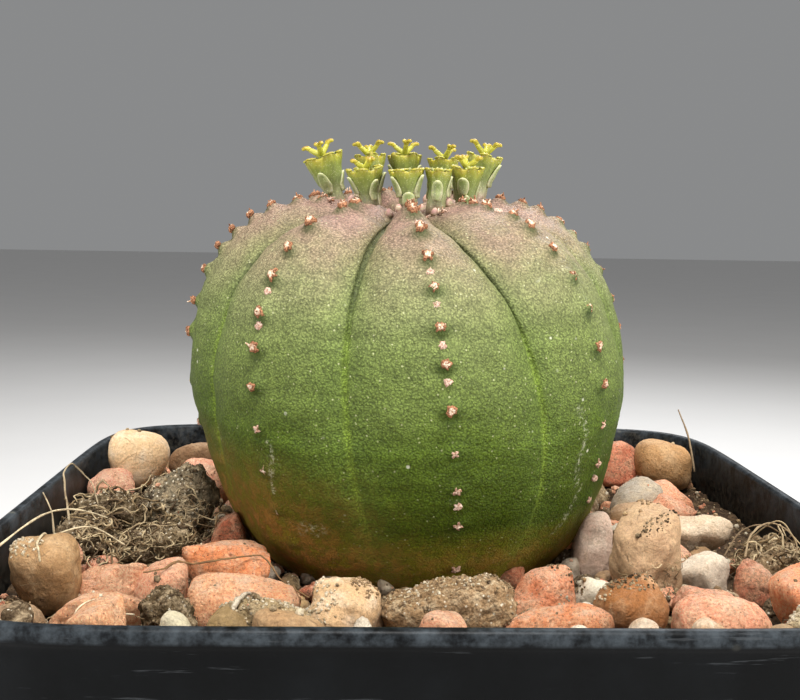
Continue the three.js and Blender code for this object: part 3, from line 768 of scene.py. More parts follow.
def stem(look):
    """The skin over all ribs, with its tubercles and the marks that its look reads."""
    steps = 28
    t = np.arange(steps) / steps
    share = t - 0.72 * np.sin(2 * math.pi * t) / (2 * math.pi)
    rings = np.concatenate([
        np.linspace(179, 141, 40), np.linspace(140, 12, 270), np.linspace(11.3, 1.5, 14),
    ])
    azimuths, ridges = [], []
    for index, (crest, furrow) in enumerate(RIBS):
        turn = 2 * math.pi if index + 1 == len(RIBS) else 0
        start = line_azimuth(crest, rings)[:, None]
        valley = line_azimuth(furrow, rings)[:, None]
        end = line_azimuth(RIBS[(index + 1) % len(RIBS)][0], rings)[:, None] + turn
        azimuths += [start + (valley - start) * share, valley + (end - valley) * share]
        ridges += [share, 1 - share]
    azimuth = np.concatenate(azimuths, 1)
    ridge = np.broadcast_to(np.concatenate(ridges), azimuth.shape)
    degrees = np.broadcast_to(rings[:, None], azimuth.shape)
    points = stem_point(degrees, azimuth, ridge)
    across = np.roll(points, -1, 1) - np.roll(points, 1, 1)
    along = np.gradient(points, axis=0)
    normal = unit(np.cross(across, along))
    # Crease along each furrow, level constrictions and a slightly uneven skin.
    crease = np.exp(-((1 - ridge) / 0.030) ** 2) * (0.04 + 0.16 * step_up(degrees, 100, 55))
    crease = crease * step_up(degrees, 4, 14) * step_up(degrees, 138, 120)
    bands = 0.07 * value_noise(np.stack([degrees, 0 * degrees, 0 * degrees], -1), 3.2, 5)
    uneven = 0.30 * fractal(points, 9.0, 3, 2) + 0.05 * fractal(points, 1.4, 3, 8)
    height = -crease + (bands + uneven) * step_up(degrees, 4, 16)
    flat = points.reshape(-1, 3)
    height = height.reshape(-1).copy()
    mound = np.zeros(len(flat))
    for rib, place, kind, size in tubercles():
        here, out, fall = tubercle_frame(rib, place)
        offset = flat - here
        near = np.linalg.norm(offset, axis=1) < 3.2
        s = offset[near] @ fall / size
        side = offset[near] @ np.cross(fall, out) / size
        if kind == "dot":
            shape = 0.16 * np.exp(-((s / 0.6) ** 2 + (side / 0.6) ** 2))
        else:
            tall = 0.58 if kind == "crater" else 0.26
            upper = np.where(s < 0, 1.05, 0.62)
            shape = tall * np.exp(-((s / upper) ** 2 + (side / 0.95) ** 2) ** 1.2)
            shape -= 0.16 * np.exp(-(((s - 1.12) / 0.22) ** 2 + (side / 0.75) ** 2))
            # Painted shade below the tubercle, over its mound's darker green: centred a little
            # downhill of the peak, weaker on the stars.
            shade = np.exp(-(((s - 0.45) / 0.75) ** 2 + (side / 0.95) ** 2))
            shade = shade * (1.0 if kind == "crater" else 0.55)
            mound[near] = np.maximum(mound[near], shade)
        height[near] += shape
    moved = flat + height[:, None] * normal.reshape(-1, 3)
    ground = np.degrees(azimuth.reshape(-1))
    ground = (ground + 180) % 360 - 180
    level = degrees.reshape(-1)
    left = np.exp(-((ground + 54) / 32) ** 2) * step_up(level, 98, 126)
    cork = np.clip(left + 0.55 * step_up(level, 118, 134), 0, 1)
    # Chalky scratches: a path over the skin and its half width.
    chalk = np.zeros(len(flat))
    arc = [stem_point(58 + 3.4 * math.sin(a), math.radians(37.5 + 3.2 * math.cos(a)), 0.55)
           for a in np.linspace(-1.9, 1.9, 26)]
    streak = [stem_point(a, math.radians(42 + 0.14 * (a - 95) + math.sin(a / 3.0)), 0.3)
              for a in np.linspace(92, 112, 40)]
    smear = [stem_point(a, math.radians(44 - 0.5 * (a - 118)), 0.3)
             for a in np.linspace(113, 125, 30)]
    drip = [stem_point(a, math.radians(-37 + 0.8 * math.sin(a / 2.0)), 0.1)
            for a in np.linspace(100, 112, 26)]
    crust = [stem_point(121 + 1.0 * math.sin(3 * a), math.radians(-29 + 2.2 * a), 0.4)
             for a in np.linspace(-1.5, 1.5, 20)]
    for path, wide in ((arc, 0.13), (streak, 0.26), (smear, 0.22), (drip, 0.26), (crust, 0.50)):
        chalk = np.maximum(chalk, 1 - step_up(arc_distance(flat, path), wide * 0.5, wide * 1.6))
    count, around = azimuth.shape
    grid = moved.reshape(count, around, 3)
    body, faces = loft(grid, grid[0].mean(0), grid[-1].mean(0))
    soup = Soup()
    soup.add(
        body, faces,
        down=with_ends(level / 180, 1.0, 0.0), ridge=with_ends(ridge.reshape(-1), 0.0, 0.8),
        mound=with_ends(mound, 0, 0), cork=with_ends(cork, 1, 0),
        chalk=with_ends(chalk, 0, 0),
    )
    soup.make("stem_skin", look, "plant_skin", ["stem"])
    return body, faces


# Radius, lift, rays, depth of the rays and pinkness of each kind of scar; then the height,
# width and paleness of its rings.
SCARS = {
    "crater": (0.52, 0.47, 5, 0.15, 0.0, [-0.35, 0.02, 0.16, 0.24, 0.22],
               [0.90, 1.00, 0.82, 0.58, 0.30], [0.0, 0.0, 0.30, 0.60, 0.85]),
    "dot": (0.39, 0.08, 6, 0.10, 1.0, [-0.20, 0.04, 0.15, 0.22, 0.24],
            [0.95, 1.00, 0.86, 0.58, 0.25], [0.0, 0.2, 0.5, 0.8, 1.0]),
    "star": (0.40, 0.20, 4, 0.42, 0.55, [-0.25, 0.02, 0.10, 0.16, 0.18],
             [0.90, 1.00, 0.70, 0.44, 0.22], [0.0, 0.15, 0.4, 0.8, 1.0]),
}


def scars(look):
    """The ragged remains of old flowers and leaves on the tubercles."""
    chance = np.random.RandomState(8)
    soup = Soup()
    steps = 18
    angles = np.arange(steps) * 2 * math.pi / steps
    for rib, place, kind, size in tubercles():
        here, out, fall = tubercle_frame(rib, place)
        side = np.cross(fall, out)
        crater = kind == "crater"
        radius, lift, rays, sharp, pink, heights, spread, middle = SCARS[kind]
        radius *= size
        start = chance.uniform(0, 6.3)
        star = 1 + sharp * np.cos(rays * angles + start) + chance.uniform(-0.26, 0.26, steps)
        rings = []
        for ring, (height, wide) in enumerate(zip(heights, spread)):
            shape = 1 + (star - 1) * (1 if ring < 3 else 0.6)
            rough = chance.uniform(-0.11, 0.11, steps) * (ring > 0)
            flat = np.outer(np.cos(angles) * shape, side) + np.outer(np.sin(angles) * shape, fall)
            tilt = (0.20 if crater else 0.0) * np.sin(angles)
            rings.append(here + radius * wide * flat
                         + np.outer((lift + height * size + rough - tilt * radius * wide), out))
        top = here + out * (lift + (0.24 if crater else 0.22) * size)
        body, faces = loft(rings, here + out * (lift - 0.4), top)
        soup.add(body, faces, middle=ring_marks(middle, steps), kind=pink)
        # A splinter or two of dried flower stalk on the larger scars.
        if crater and (place < 50 or chance.uniform() < 0.4):
            for _ in range(4 if place < 36 else 2):
                base = here + out * lift + side * chance.uniform(-0.35, 0.35)
                way = unit(out * 0.8 + side * chance.uniform(-0.9, 0.9)
                           + fall * chance.uniform(-0.8, 0.5))
                bend = unit(way + side * chance.uniform(-0.5, 0.5))
                long = chance.uniform(0.35, 0.75)
                path = [base, base + way * long * 0.5, base + way * long * 0.5 + bend * long * 0.5]
                soup.add(*tube(smooth_path(path, 2), [0.14, 0.13, 0.11, 0.09, 0.05], 5),
                         middle=chance.uniform(0.1, 0.75), kind=0.0)
    soup.make("tubercle_scars", look, "plant_skin")


# ---- Flowers ----

# Height is to the rim, cup is the rim's radius, style is the styles' height above the rim.
Flower = namedtuple("Flower", "foot lean height cup turn style")
FLOWERS = [
    Flower((-9.8, -0.5), (-0.33, -0.05), 5.6, 2.3, 10, 2.1),
    Flower((-6.1, -5.6), (-0.13, -0.12), 4.0, 2.1, 40, 1.5),
    Flower((-5.6, 4.6), (-0.1, 0.12), 5.9, 1.9, 65, 2.1),
    Flower((-1.9, -7.3), (-0.07, -0.05), 3.8, 2.0, 20, 0),
    Flower((-1.8, 6.4), (-0.03, 0.08), 5.4, 2.1, 14, 2.2),
    Flower((1.1, -6.8), (0.05, -0.04), 4.2, 1.45, 50, 0),
    Flower((2.7, 5.8), (0.02, 0.1), 4.5, 1.95, 30, 2.1),
    Flower((4.3, -4.4), (0.05, -0.1), 4.9, 1.9, 75, 1.7),
    Flower((6.2, 0.2), (0.16, 0.02), 4.6, 2.1, 55, 2.1),
]
# Bracts on each flower: azimuth from the front, height of the middle as a share of the
# flower's height, length, width, and how pointed the tip is.
BRACTS = [
    [(-22, 0.50, 2.6, 1.25, 0.3), (95, 0.45, 2.2, 1.1, 0.2), (215, 0.5, 2.3, 1.1, 0.2)],
    [(-72, 0.62, 2.0, 0.9, 0.1), (34, 0.46, 2.3, 1.0, 0.0), (86, 0.62, 2.1, 0.9, 0.1),
     (200, 0.5, 2.2, 1.0, 0.1)],
    [(-60, 0.55, 2.2, 1.0, 0.1), (40, 0.5, 2.2, 1.0, 0.1), (170, 0.5, 2.2, 1.0, 0.1)],
    [(-58, 0.58, 2.3, 0.95, 0.1), (56, 0.56, 2.5, 0.9, 0.2), (0, 0.20, 1.7, 1.25, 0.0),
     (170, 0.5, 2.2, 1.0, 0.1)],
    [(-75, 0.62, 2.2, 1.0, 0.1), (70, 0.6, 2.2, 1.0, 0.1), (180, 0.6, 2.2, 1.0, 0.1)],
    [(-4, 0.50, 2.3, 1.15, 0.1), (100, 0.62, 2.3, 0.8, 0.2), (225, 0.5, 2.0, 1.0, 0.1)],
    [(-50, 0.5, 2.2, 1.0, 0.1), (60, 0.5, 2.2, 1.0, 0.1), (180, 0.5, 2.2, 1.0, 0.1)],
    [(-16, 0.62, 1.9, 1.2, 0.0), (4, 0.20, 2.3, 0.85, 0.0), (110, 0.5, 2.2, 1.0, 0.1),
     (230, 0.5, 2.2, 1.0, 0.1)],
    [(-38, 0.44, 2.4, 1.35, 0.9), (70, 0.58, 2.8, 1.0, 0.4), (180, 0.5, 2.2, 1.0, 0.2)],
]


def crown_level(body, faces):
    """A function that gives the level of the skin under a point of the crown."""
    tree = BVHTree.FromPolygons([Vector(p) for p in body], [list(f) for f in faces])
    return lambda x, y: tree.ray_cast(Vector((x, y, 140)), Vector((0, 0, -1)))[0].z


def stand(points, flower, level):
    """Turns and places points made upright round the origin, as the CAD model does."""
    lean = Vector((*flower.lean, 1)).normalized()
    tilt = Vector((0, 0, 1)).rotation_difference(lean).to_matrix()
    turned = np.asarray(points) @ np.array(tilt).T
    return turned + np.array([*flower.foot, level])


def goblet(flower):
    """Stalk and cup, with a lobed rim and a shallow dish inside."""
    height, cup, turn = flower.height, flower.cup, math.radians(flower.turn)
    steps = 45
    angle = np.arange(steps) * 2 * math.pi / steps
    lobes = 0.5 + 0.5 * np.cos(5 * (angle - turn))
    profile = [
        (-1.5, 0.92, 0), (-0.2, 1.06, 0), (0.10 * height, 1.03, 0), (0.24 * height, 0.98, 0),
        (0.38 * height, 1.06, 0), (0.50 * height, 0.52 * cup + 0.20, 0.1),
        (0.62 * height, 0.66 * cup + 0.10, 0.2), (0.74 * height, 0.80 * cup, 0.4),
        (0.85 * height, 0.90 * cup, 0.6), (0.94 * height, 0.97 * cup, 0.9),
        (height, 1.0 * cup, 1.0), (height + 0.10, 0.93 * cup, 1.0),
        (height - 0.05, 0.80 * cup, 0.9), (height - 0.30, 0.66 * cup, 0.6),
        (height - 0.52, 0.46 * cup, 0.3), (height - 0.62, 0.22 * cup, 0),
    ]
    rings, rise = [], []
    for z, radius, lobed in profile:
        wave = 1 - 0.20 * lobed * (1 - lobes) + 0.030 * np.cos(10 * (angle - turn))
        wave = wave + 0.035 * lobed * np.cos(20 * (angle - turn) + 0.7)
        lift = 0.42 * lobed * (lobes - 0.45)
        rings.append(np.stack([
            radius * wave * np.cos(angle), radius * wave * np.sin(angle), z + lift,
        ], 1))
        rise.append(min(1.0, max(0.0, z / height)))
    # Inside the rim the colour goes back a little way down the ramp.
    rise[11:] = [1.0, 0.97, 0.85, 0.72, 0.66]
    points, faces = loft(rings, (0, 0, -1.5), (0, 0, height - 0.6))
    return points, faces, ring_marks(rise, steps)


def cup_radius(flower, z):
    """Radius of a goblet at a height over its foot."""
    height, cup = flower.height, flower.cup
    return float(np.interp(z / height, [0, 0.38, 0.5, 0.74, 1.0],
                           [1.05, 1.06, 0.52 * cup + 0.2, 0.8 * cup, cup]))


def bract(flower, spec):
    """One oblong leaf that lies on the cup and turns its tip out."""
    azimuth, middle, length, width, point = spec
    azimuth = math.radians(azimuth)
    out = np.array([math.sin(azimuth), -math.cos(azimuth), 0.0])
    side = np.array([math.cos(azimuth), math.sin(azimuth), 0.0])
    start = middle * flower.height - length / 2
    rings, edges, rises = [], [], []
    rows, steps = 13, 12
    angle = np.arange(steps) * 2 * math.pi / steps
    for row in range(rows):
        t = (row + 0.35) / (rows - 0.3)
        round_end = math.sqrt(max(0.0, 1 - max(0.0, (t - 0.62) / 0.38) ** 2))
        taper = 1 - max(0.0, (t - 0.25) / 0.75)
        wide = (1 - point) * round_end + point * min(1, 1.25 * taper)
        wide = max(0.10, wide * (0.62 + 0.38 * min(1, t / 0.35)))
        z = start + length * t
        hold = cup_radius(flower, z)
        lift = 0.10 + 0.30 * max(0.0, t - 0.60) ** 1.4
        half = 0.56 * width * wide
        thick = 0.30 * (1 - 0.55 * t) + 0.05
        across = half * np.cos(angle)
        sag = across ** 2 / (2 * max(hold, 0.8))
        depth = thick * np.sin(angle) * (1 - 0.25 * np.abs(np.cos(angle)))
        reach = hold + lift - sag * 0.8 + depth
        ring = np.outer(reach, out) + np.outer(across, side)
        ring[:, 2] += z
        rings.append(ring)
        rim = step_up(np.abs(np.cos(angle)), 0.72, 0.98)
        edges.append(np.maximum(rim, step_up(t, 0.78, 0.98)))
        rises.append(np.full(steps, 0.18 + 0.45 * t))
    first = rings[0].mean(0) - np.array([0, 0, 0.12])
    last = rings[-1].mean(0) + np.array([0, 0, 0.05]) + out * 0.02
    points, faces = loft(rings, first, last)
    edge = with_ends(np.concatenate(edges), 0, 1)
    rise = with_ends(np.concatenate(rises), 0.15, 0.6)
    return points, faces, edge, rise


def gland(flower, index):
    """A kidney-shaped nectar pad on one lobe of the rim."""
    cup = flower.cup
    azimuth = math.radians(flower.turn + 72 * index)
    dirs, faces = ball(3)
    out = np.array([math.cos(azimuth), math.sin(azimuth), 0])
    side = np.array([-math.sin(azimuth), math.cos(azimuth), 0])
    across = dirs[:, 0] * 0.36 * cup
    depth = dirs[:, 1] * 0.17 * cup - 0.16 * across ** 2
    rise = dirs[:, 2] * 0.16 + 0.05 * np.cos(2.6 * dirs[:, 0])
    rise = rise - 0.06 * np.exp(-(dirs[:, 0] / 0.35) ** 2) * (dirs[:, 2] > 0)
    points = np.outer(cup * 0.86 + depth, out) + np.outer(across, side)
    points[:, 2] += flower.height + 0.14 + rise
    return points, faces


def style_shapes(flower):
    """A short column, three arms and their forked, swollen tips."""
    base, top = flower.height - 0.7, flower.height + flower.style
    tall = 0.95 * (top - base)
    turn = math.radians(flower.turn + 25)
    shapes = [(tube([(0, 0, base), (0, 0, base + tall * 0.24), (0, 0, base + tall * 0.46)],
                    [0.42, 0.40, 0.44], 12), 0.0, 0.45)]
    for arm in range(3):
        a = turn + arm * 2 * math.pi / 3
        out = np.array([math.cos(a), math.sin(a), 0])
        side = np.array([-math.sin(a), math.cos(a), 0])
        up = np.array([0, 0, 1.0])
        root = up * (base + tall * 0.36)
        bend = root + out * tall * 0.24 + up * tall * 0.20
        fork = root + out * tall * 0.44 + up * tall * 0.37
        shapes.append((tube(smooth_path([root, bend, fork], 4),
                            np.linspace(0.36, 0.27, 9), 10), 0.3, 0.75))
        for turn_side in (-1, 1):
            middle = fork + out * tall * 0.13 + side * turn_side * tall * 0.09 + up * tall * 0.12
            tip = fork + out * tall * 0.26 + side * turn_side * tall * 0.17 + up * tall * 0.10
            shapes.append((tube(smooth_path([fork - out * 0.06, middle, tip], 4),
                                [0.23, 0.24, 0.24, 0.24, 0.24, 0.23, 0.22, 0.20, 0.14], 10),
                           0.7, 1.0))
    return shapes


def flowers(green, yellow, body, faces):
    """Every flower: one piece for the goblet and what sits on it, one for its styles."""
    level = crown_level(body, faces)
    chance = np.random.RandomState(17)
    for index, flower in enumerate(FLOWERS):
        # The cup stands on the skin, and no lower than the CAD cup's own foot.
        foot = max(level(*flower.foot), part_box(f"cyathium_{index + 1}")[0][2] / MM)
        soup = Soup()
        points, shape, rise = goblet(flower)
        sway = 0.10 * value_noise(points, 1.6, index) + 0.04 * value_noise(points, 0.6, index)
        points = points + sway[:, None] * np.array([1, 1, 0])
        soup.add(stand(points, flower, foot), shape, rise=rise, edge=0.0)
        for spec in BRACTS[index]:
            points, shape, edge, rise = bract(flower, spec)
            soup.add(stand(points, flower, foot), shape, rise=rise, edge=edge)
        for pad in range(5):
            points, shape = gland(flower, pad)
            rises = np.where(ball(3)[0][:, 2] > 0.1, 0.99, 0.90)
            soup.add(stand(points, flower, foot), shape, rise=rises, edge=0.0)
        # Stamens between the glands.
        for _ in range(7):
            a = chance.uniform(0, 6.3)
            reach = chance.uniform(0.2, 0.5) * flower.cup
            start = np.array([reach * math.cos(a), reach * math.sin(a), flower.height - 0.6])
            tip = start + [0.25 * math.cos(a), 0.25 * math.sin(a), chance.uniform(0.5, 0.95)]
            points, shape = tube([start, (start + tip) / 2, tip], [0.09, 0.10, 0.17], 6)
            soup.add(stand(points, flower, foot), shape, rise=0.88, edge=0.35)
        soup.make(f"flower_cup_{index + 1}", green, "flower_green", [f"cyathium_{index + 1}"])
        if flower.style > 0:
            soup = Soup()
            for (points, shape), low, high in style_shapes(flower):
                rise = low + (high - low) * (points[:, 2] - points[:, 2].min()) / (
                    np.ptp(points[:, 2]) + 1e-6)
                soup.add(stand(points, flower, foot), shape, rise=rise)
            soup.make(f"flower_style_{index + 1}", yellow, "flower_yellow",
                      [f"style_{index + 1}"])
    return level


def crown_litter(look, bud_look, level):
    """Dried flower remains and small buds round the feet of the cups."""
    chance = np.random.RandomState(31)
    soup = Soup()
    spots = [(-7.6, -7.6), (-1.4, -9.4), (6.6, -4.2), (8.6, -3.2), (-0.6, -8.8), (-10.6, -3.4),
             (9.0, 2.6), (3.4, 8.8), (-4.6, 8.2), (-11.2, 2.4), (1.6, -9.0), (7.4, -5.6)]
    for x, y in spots:
        z = level(x, y)
        for _ in range(7):
            start = np.array([x, y, z]) + chance.uniform(-0.55, 0.55, 3) * [1, 1, 0.15]
            start[2] += 0.08
            way = unit(chance.uniform(-1, 1, 3) * [1, 1, 0.35] + [0, 0, 0.45])
            bend = unit(way + chance.uniform(-0.8, 0.8, 3))
            long = chance.uniform(0.35, 0.9)
            path = smooth_path([start, start + way * long * 0.5,
                                start + way * long * 0.5 + bend * long * 0.5], 3)
            soup.add(*tube(path, np.linspace(0.17, 0.05, len(path)), 5),
                     middle=chance.uniform(0.0, 0.9), kind=chance.choice([0, 0, 1.0]))
    soup.make("dried_flower_remains", look, "plant_skin")
    soup = Soup()
    dirs, faces = ball(3)
    for x, y, size in [(-8.1, -3.0, 0.62), (2.5, -6.6, 0.66), (0.9, -8.4, 0.55),
                       (5.9, -3.4, 0.55), (-4.0, -7.0, 0.62), (7.6, 2.2, 0.6),
                       (0.6, 3.6, 0.6), (-7.6, 2.6, 0.55), (-0.3, -3.2, 0.6),
                       (-3.0, -8.2, 0.5), (5.0, 5.4, 0.5)]:
        rough = 1 + 0.06 * value_noise(dirs, 0.6, int(10 * x))
        tall = np.where(dirs[:, 2] > 0, 1.9 - 0.4 * dirs[:, 2], 0.8)
        narrow = 1 - 0.35 * np.clip(dirs[:, 2], 0, 1) ** 2
        size = 0.78 * size
        body = dirs * rough[:, None] * size
        body[:, :2] *= narrow[:, None]
        body[:, 2] *= tall
        soup.add(body + [x, y, level(x, y) + 0.30 * size], faces, rise=0.06,
                 edge=0.35 * (dirs[:, 2] > 0.5))
    soup.make("flower_buds", bud_look, "flower_green")


def bud_look():
    """Small pinkish buds."""
    look = Look("bud_look", specular=0.35, roughness=0.6)
    base = look.two_tone(look.noise(0.6, 4), 0.35, 0.65, "b58d84", "a9a07c")
    base = look.blend(base, "dcc6b4", look.between(look.noise(0.3, 3), 0.5, 0.75))
    base = look.blend(base, "c98f8c", look.mark("edge"))
    look.set("Base Color", base)
    look.bump((look.noise(0.2, 4), 0.05))
    return look.material


# ---- Pot and soil ----

def cutter(points_2d, low, high):
    """A closed prism, used only to cut and then removed."""
    base = [(x * MM, y * MM, low * MM) for x, y in points_2d]
    top = [(x * MM, y * MM, high * MM) for x, y in points_2d]
    count = len(base)
    faces = [tuple(range(count))[::-1], tuple(range(count, 2 * count))]
    faces += [(i, (i + 1) % count, (i + 1) % count + count, i + count) for i in range(count)]
    mesh = bpy.data.meshes.new("cutter")
    mesh.from_pydata(base + top, [], faces)
    item = bpy.data.objects.new("cutter", mesh)
    bpy.context.scene.collection.objects.link(item)
    return item


def spun(points, angle):
    """Flat points turned round the origin."""
    c, s = math.cos(angle), math.sin(angle)
    return [(c * x - s * y, s * x + c * y) for x, y in points]


def pot(look):
    """The pot as one moulded shell, with its drainage holes and notches cut out."""
    steps = 192
    profile = [
        (27.0, 1.5), (27.0, 0.25), (27.25, 0.0), (31.2, 0.0), (31.8, 0.25), (32.05, 0.8),
        (33.0, 6.6), (36.5, 27.8), (40.2, 50.2), (42.95, 66.7), (43.05, 67.0), (43.5, 67.15),
        (44.15, 67.45), (44.45, 67.9), (44.5, 68.8), (44.62, 73.0), (44.7, 77.6), (44.72, 78.1),
        (44.82, 78.35), (44.95, 78.6), (45.0, 78.9), (45.0, 79.35), (44.88, 79.7), (44.6, 79.93),
        (44.25, 80.0), (43.95, 79.96), (43.7, 79.8), (43.6, 79.45), (43.52, 75.0),
        (43.42, 69.2), (43.25, 68.6), (42.3, 67.6), (41.9, 66.9), (39.2, 50.2), (35.5, 27.8),
        (31.2, 4.2), (30.6, 3.1), (29.6, 2.7),
    ]
    soup = Soup()
    rings = []
    for half, z in profile:
        ring = at_level(outline(half, steps), z)
        # Thin moulded walls are never quite true.
        wave = 0.10 * value_noise(ring, 26.0, 4) * step_up(z, 5, 40) * step_up(z, 80, 79.2)
        scale = 1 + np.where(half < 44.6, wave, np.minimum(wave, 0)) / half
        ring[:, :2] *= np.minimum(scale, RIM_HALF / max(half, 1))[:, None]
        rings.append(ring)
    points, faces = loft(rings, (0, 0, 1.5), (0, 0, 2.7))
    inner = ring_marks([1.0 if i >= 27 else 0.0 for i in range(len(profile))], steps)
    # The top of the lip, where a highlight is painted.
    lip = ring_marks([1.0 if 20 <= i <= 27 else 0.0 for i in range(len(profile))], steps)
    soup.add(points, faces, inner=inner, lip=lip)
    piece = soup.make("nursery_pot", look, "pot_plastic", ["pot"])
    arc = [(math.cos(a), math.sin(a)) for a in np.linspace(-math.pi / 2, math.pi / 2, 9)]
    hole = [(1.8 * math.cos(a), 1.8 * math.sin(a)) for a in np.linspace(0, 2 * math.pi, 25)[:-1]]
    slot = [(14 + 3.8 + 1.7 * x, 1.7 * y) for x, y in arc]
    slot += [(14 - 3.8 - 1.7 * x, -1.7 * y) for x, y in arc]
    notch = [(24.5, -3.0), (39.5, -3.0), (39.5, 3.0), (24.5, 3.0)]
    shapes = [(hole, -1, 4)]
    for side in range(4):
        turn = math.pi / 4 + side * math.pi / 2
        shapes.append((spun(slot, turn), -1, 4))
        shapes.append((spun(notch, turn + math.pi / 4), -1.2, 1.2))
    for shape, low, high in shapes:
        tool = cutter(shape, low, high)
        cut = piece.modifiers.new("cut", "BOOLEAN")
        cut.operation, cut.solver, cut.object = "DIFFERENCE", "EXACT", tool
        with bpy.context.temp_override(object=piece, active_object=piece):
            bpy.ops.object.modifier_apply(modifier=cut.name)
        bpy.data.objects.remove(tool, do_unlink=True)
    return piece


def soil(look):
    """The potting mix: a smooth plug inside the pot with a rough, crumbly surface."""
    steps = 200
    rings = []
    for z in (3.0, 20.0, 45.0, 67.0, 68.7, 72.4):
        rings.append(at_level(outline(inside_half(z) - 0.3, steps), z))
    top = SOIL_TOP - 0.15
    for share in np.linspace(1, 0.012, 120):
        rings.append(at_level(outline(1.0, steps) * (inside_half(top) - 0.35) * share, top))
    rings = np.array(rings)
    surface = rings[6:]
    bumps = 0.55 * fractal(surface, 3.2, 3, 40) + 0.40 * fractal(surface, 0.9, 2, 50)
    rings[6:, :, 2] += np.clip(bumps, -1.2, 0.9)
    soup = Soup()
    points, faces = loft(rings, (0, 0, 3.0), (0, 0, top))
    soup.add(points, faces)
    soup.make("potting_mix", look, "potting_soil", ["soil"])
    return points, faces


# ---- Gravel ----

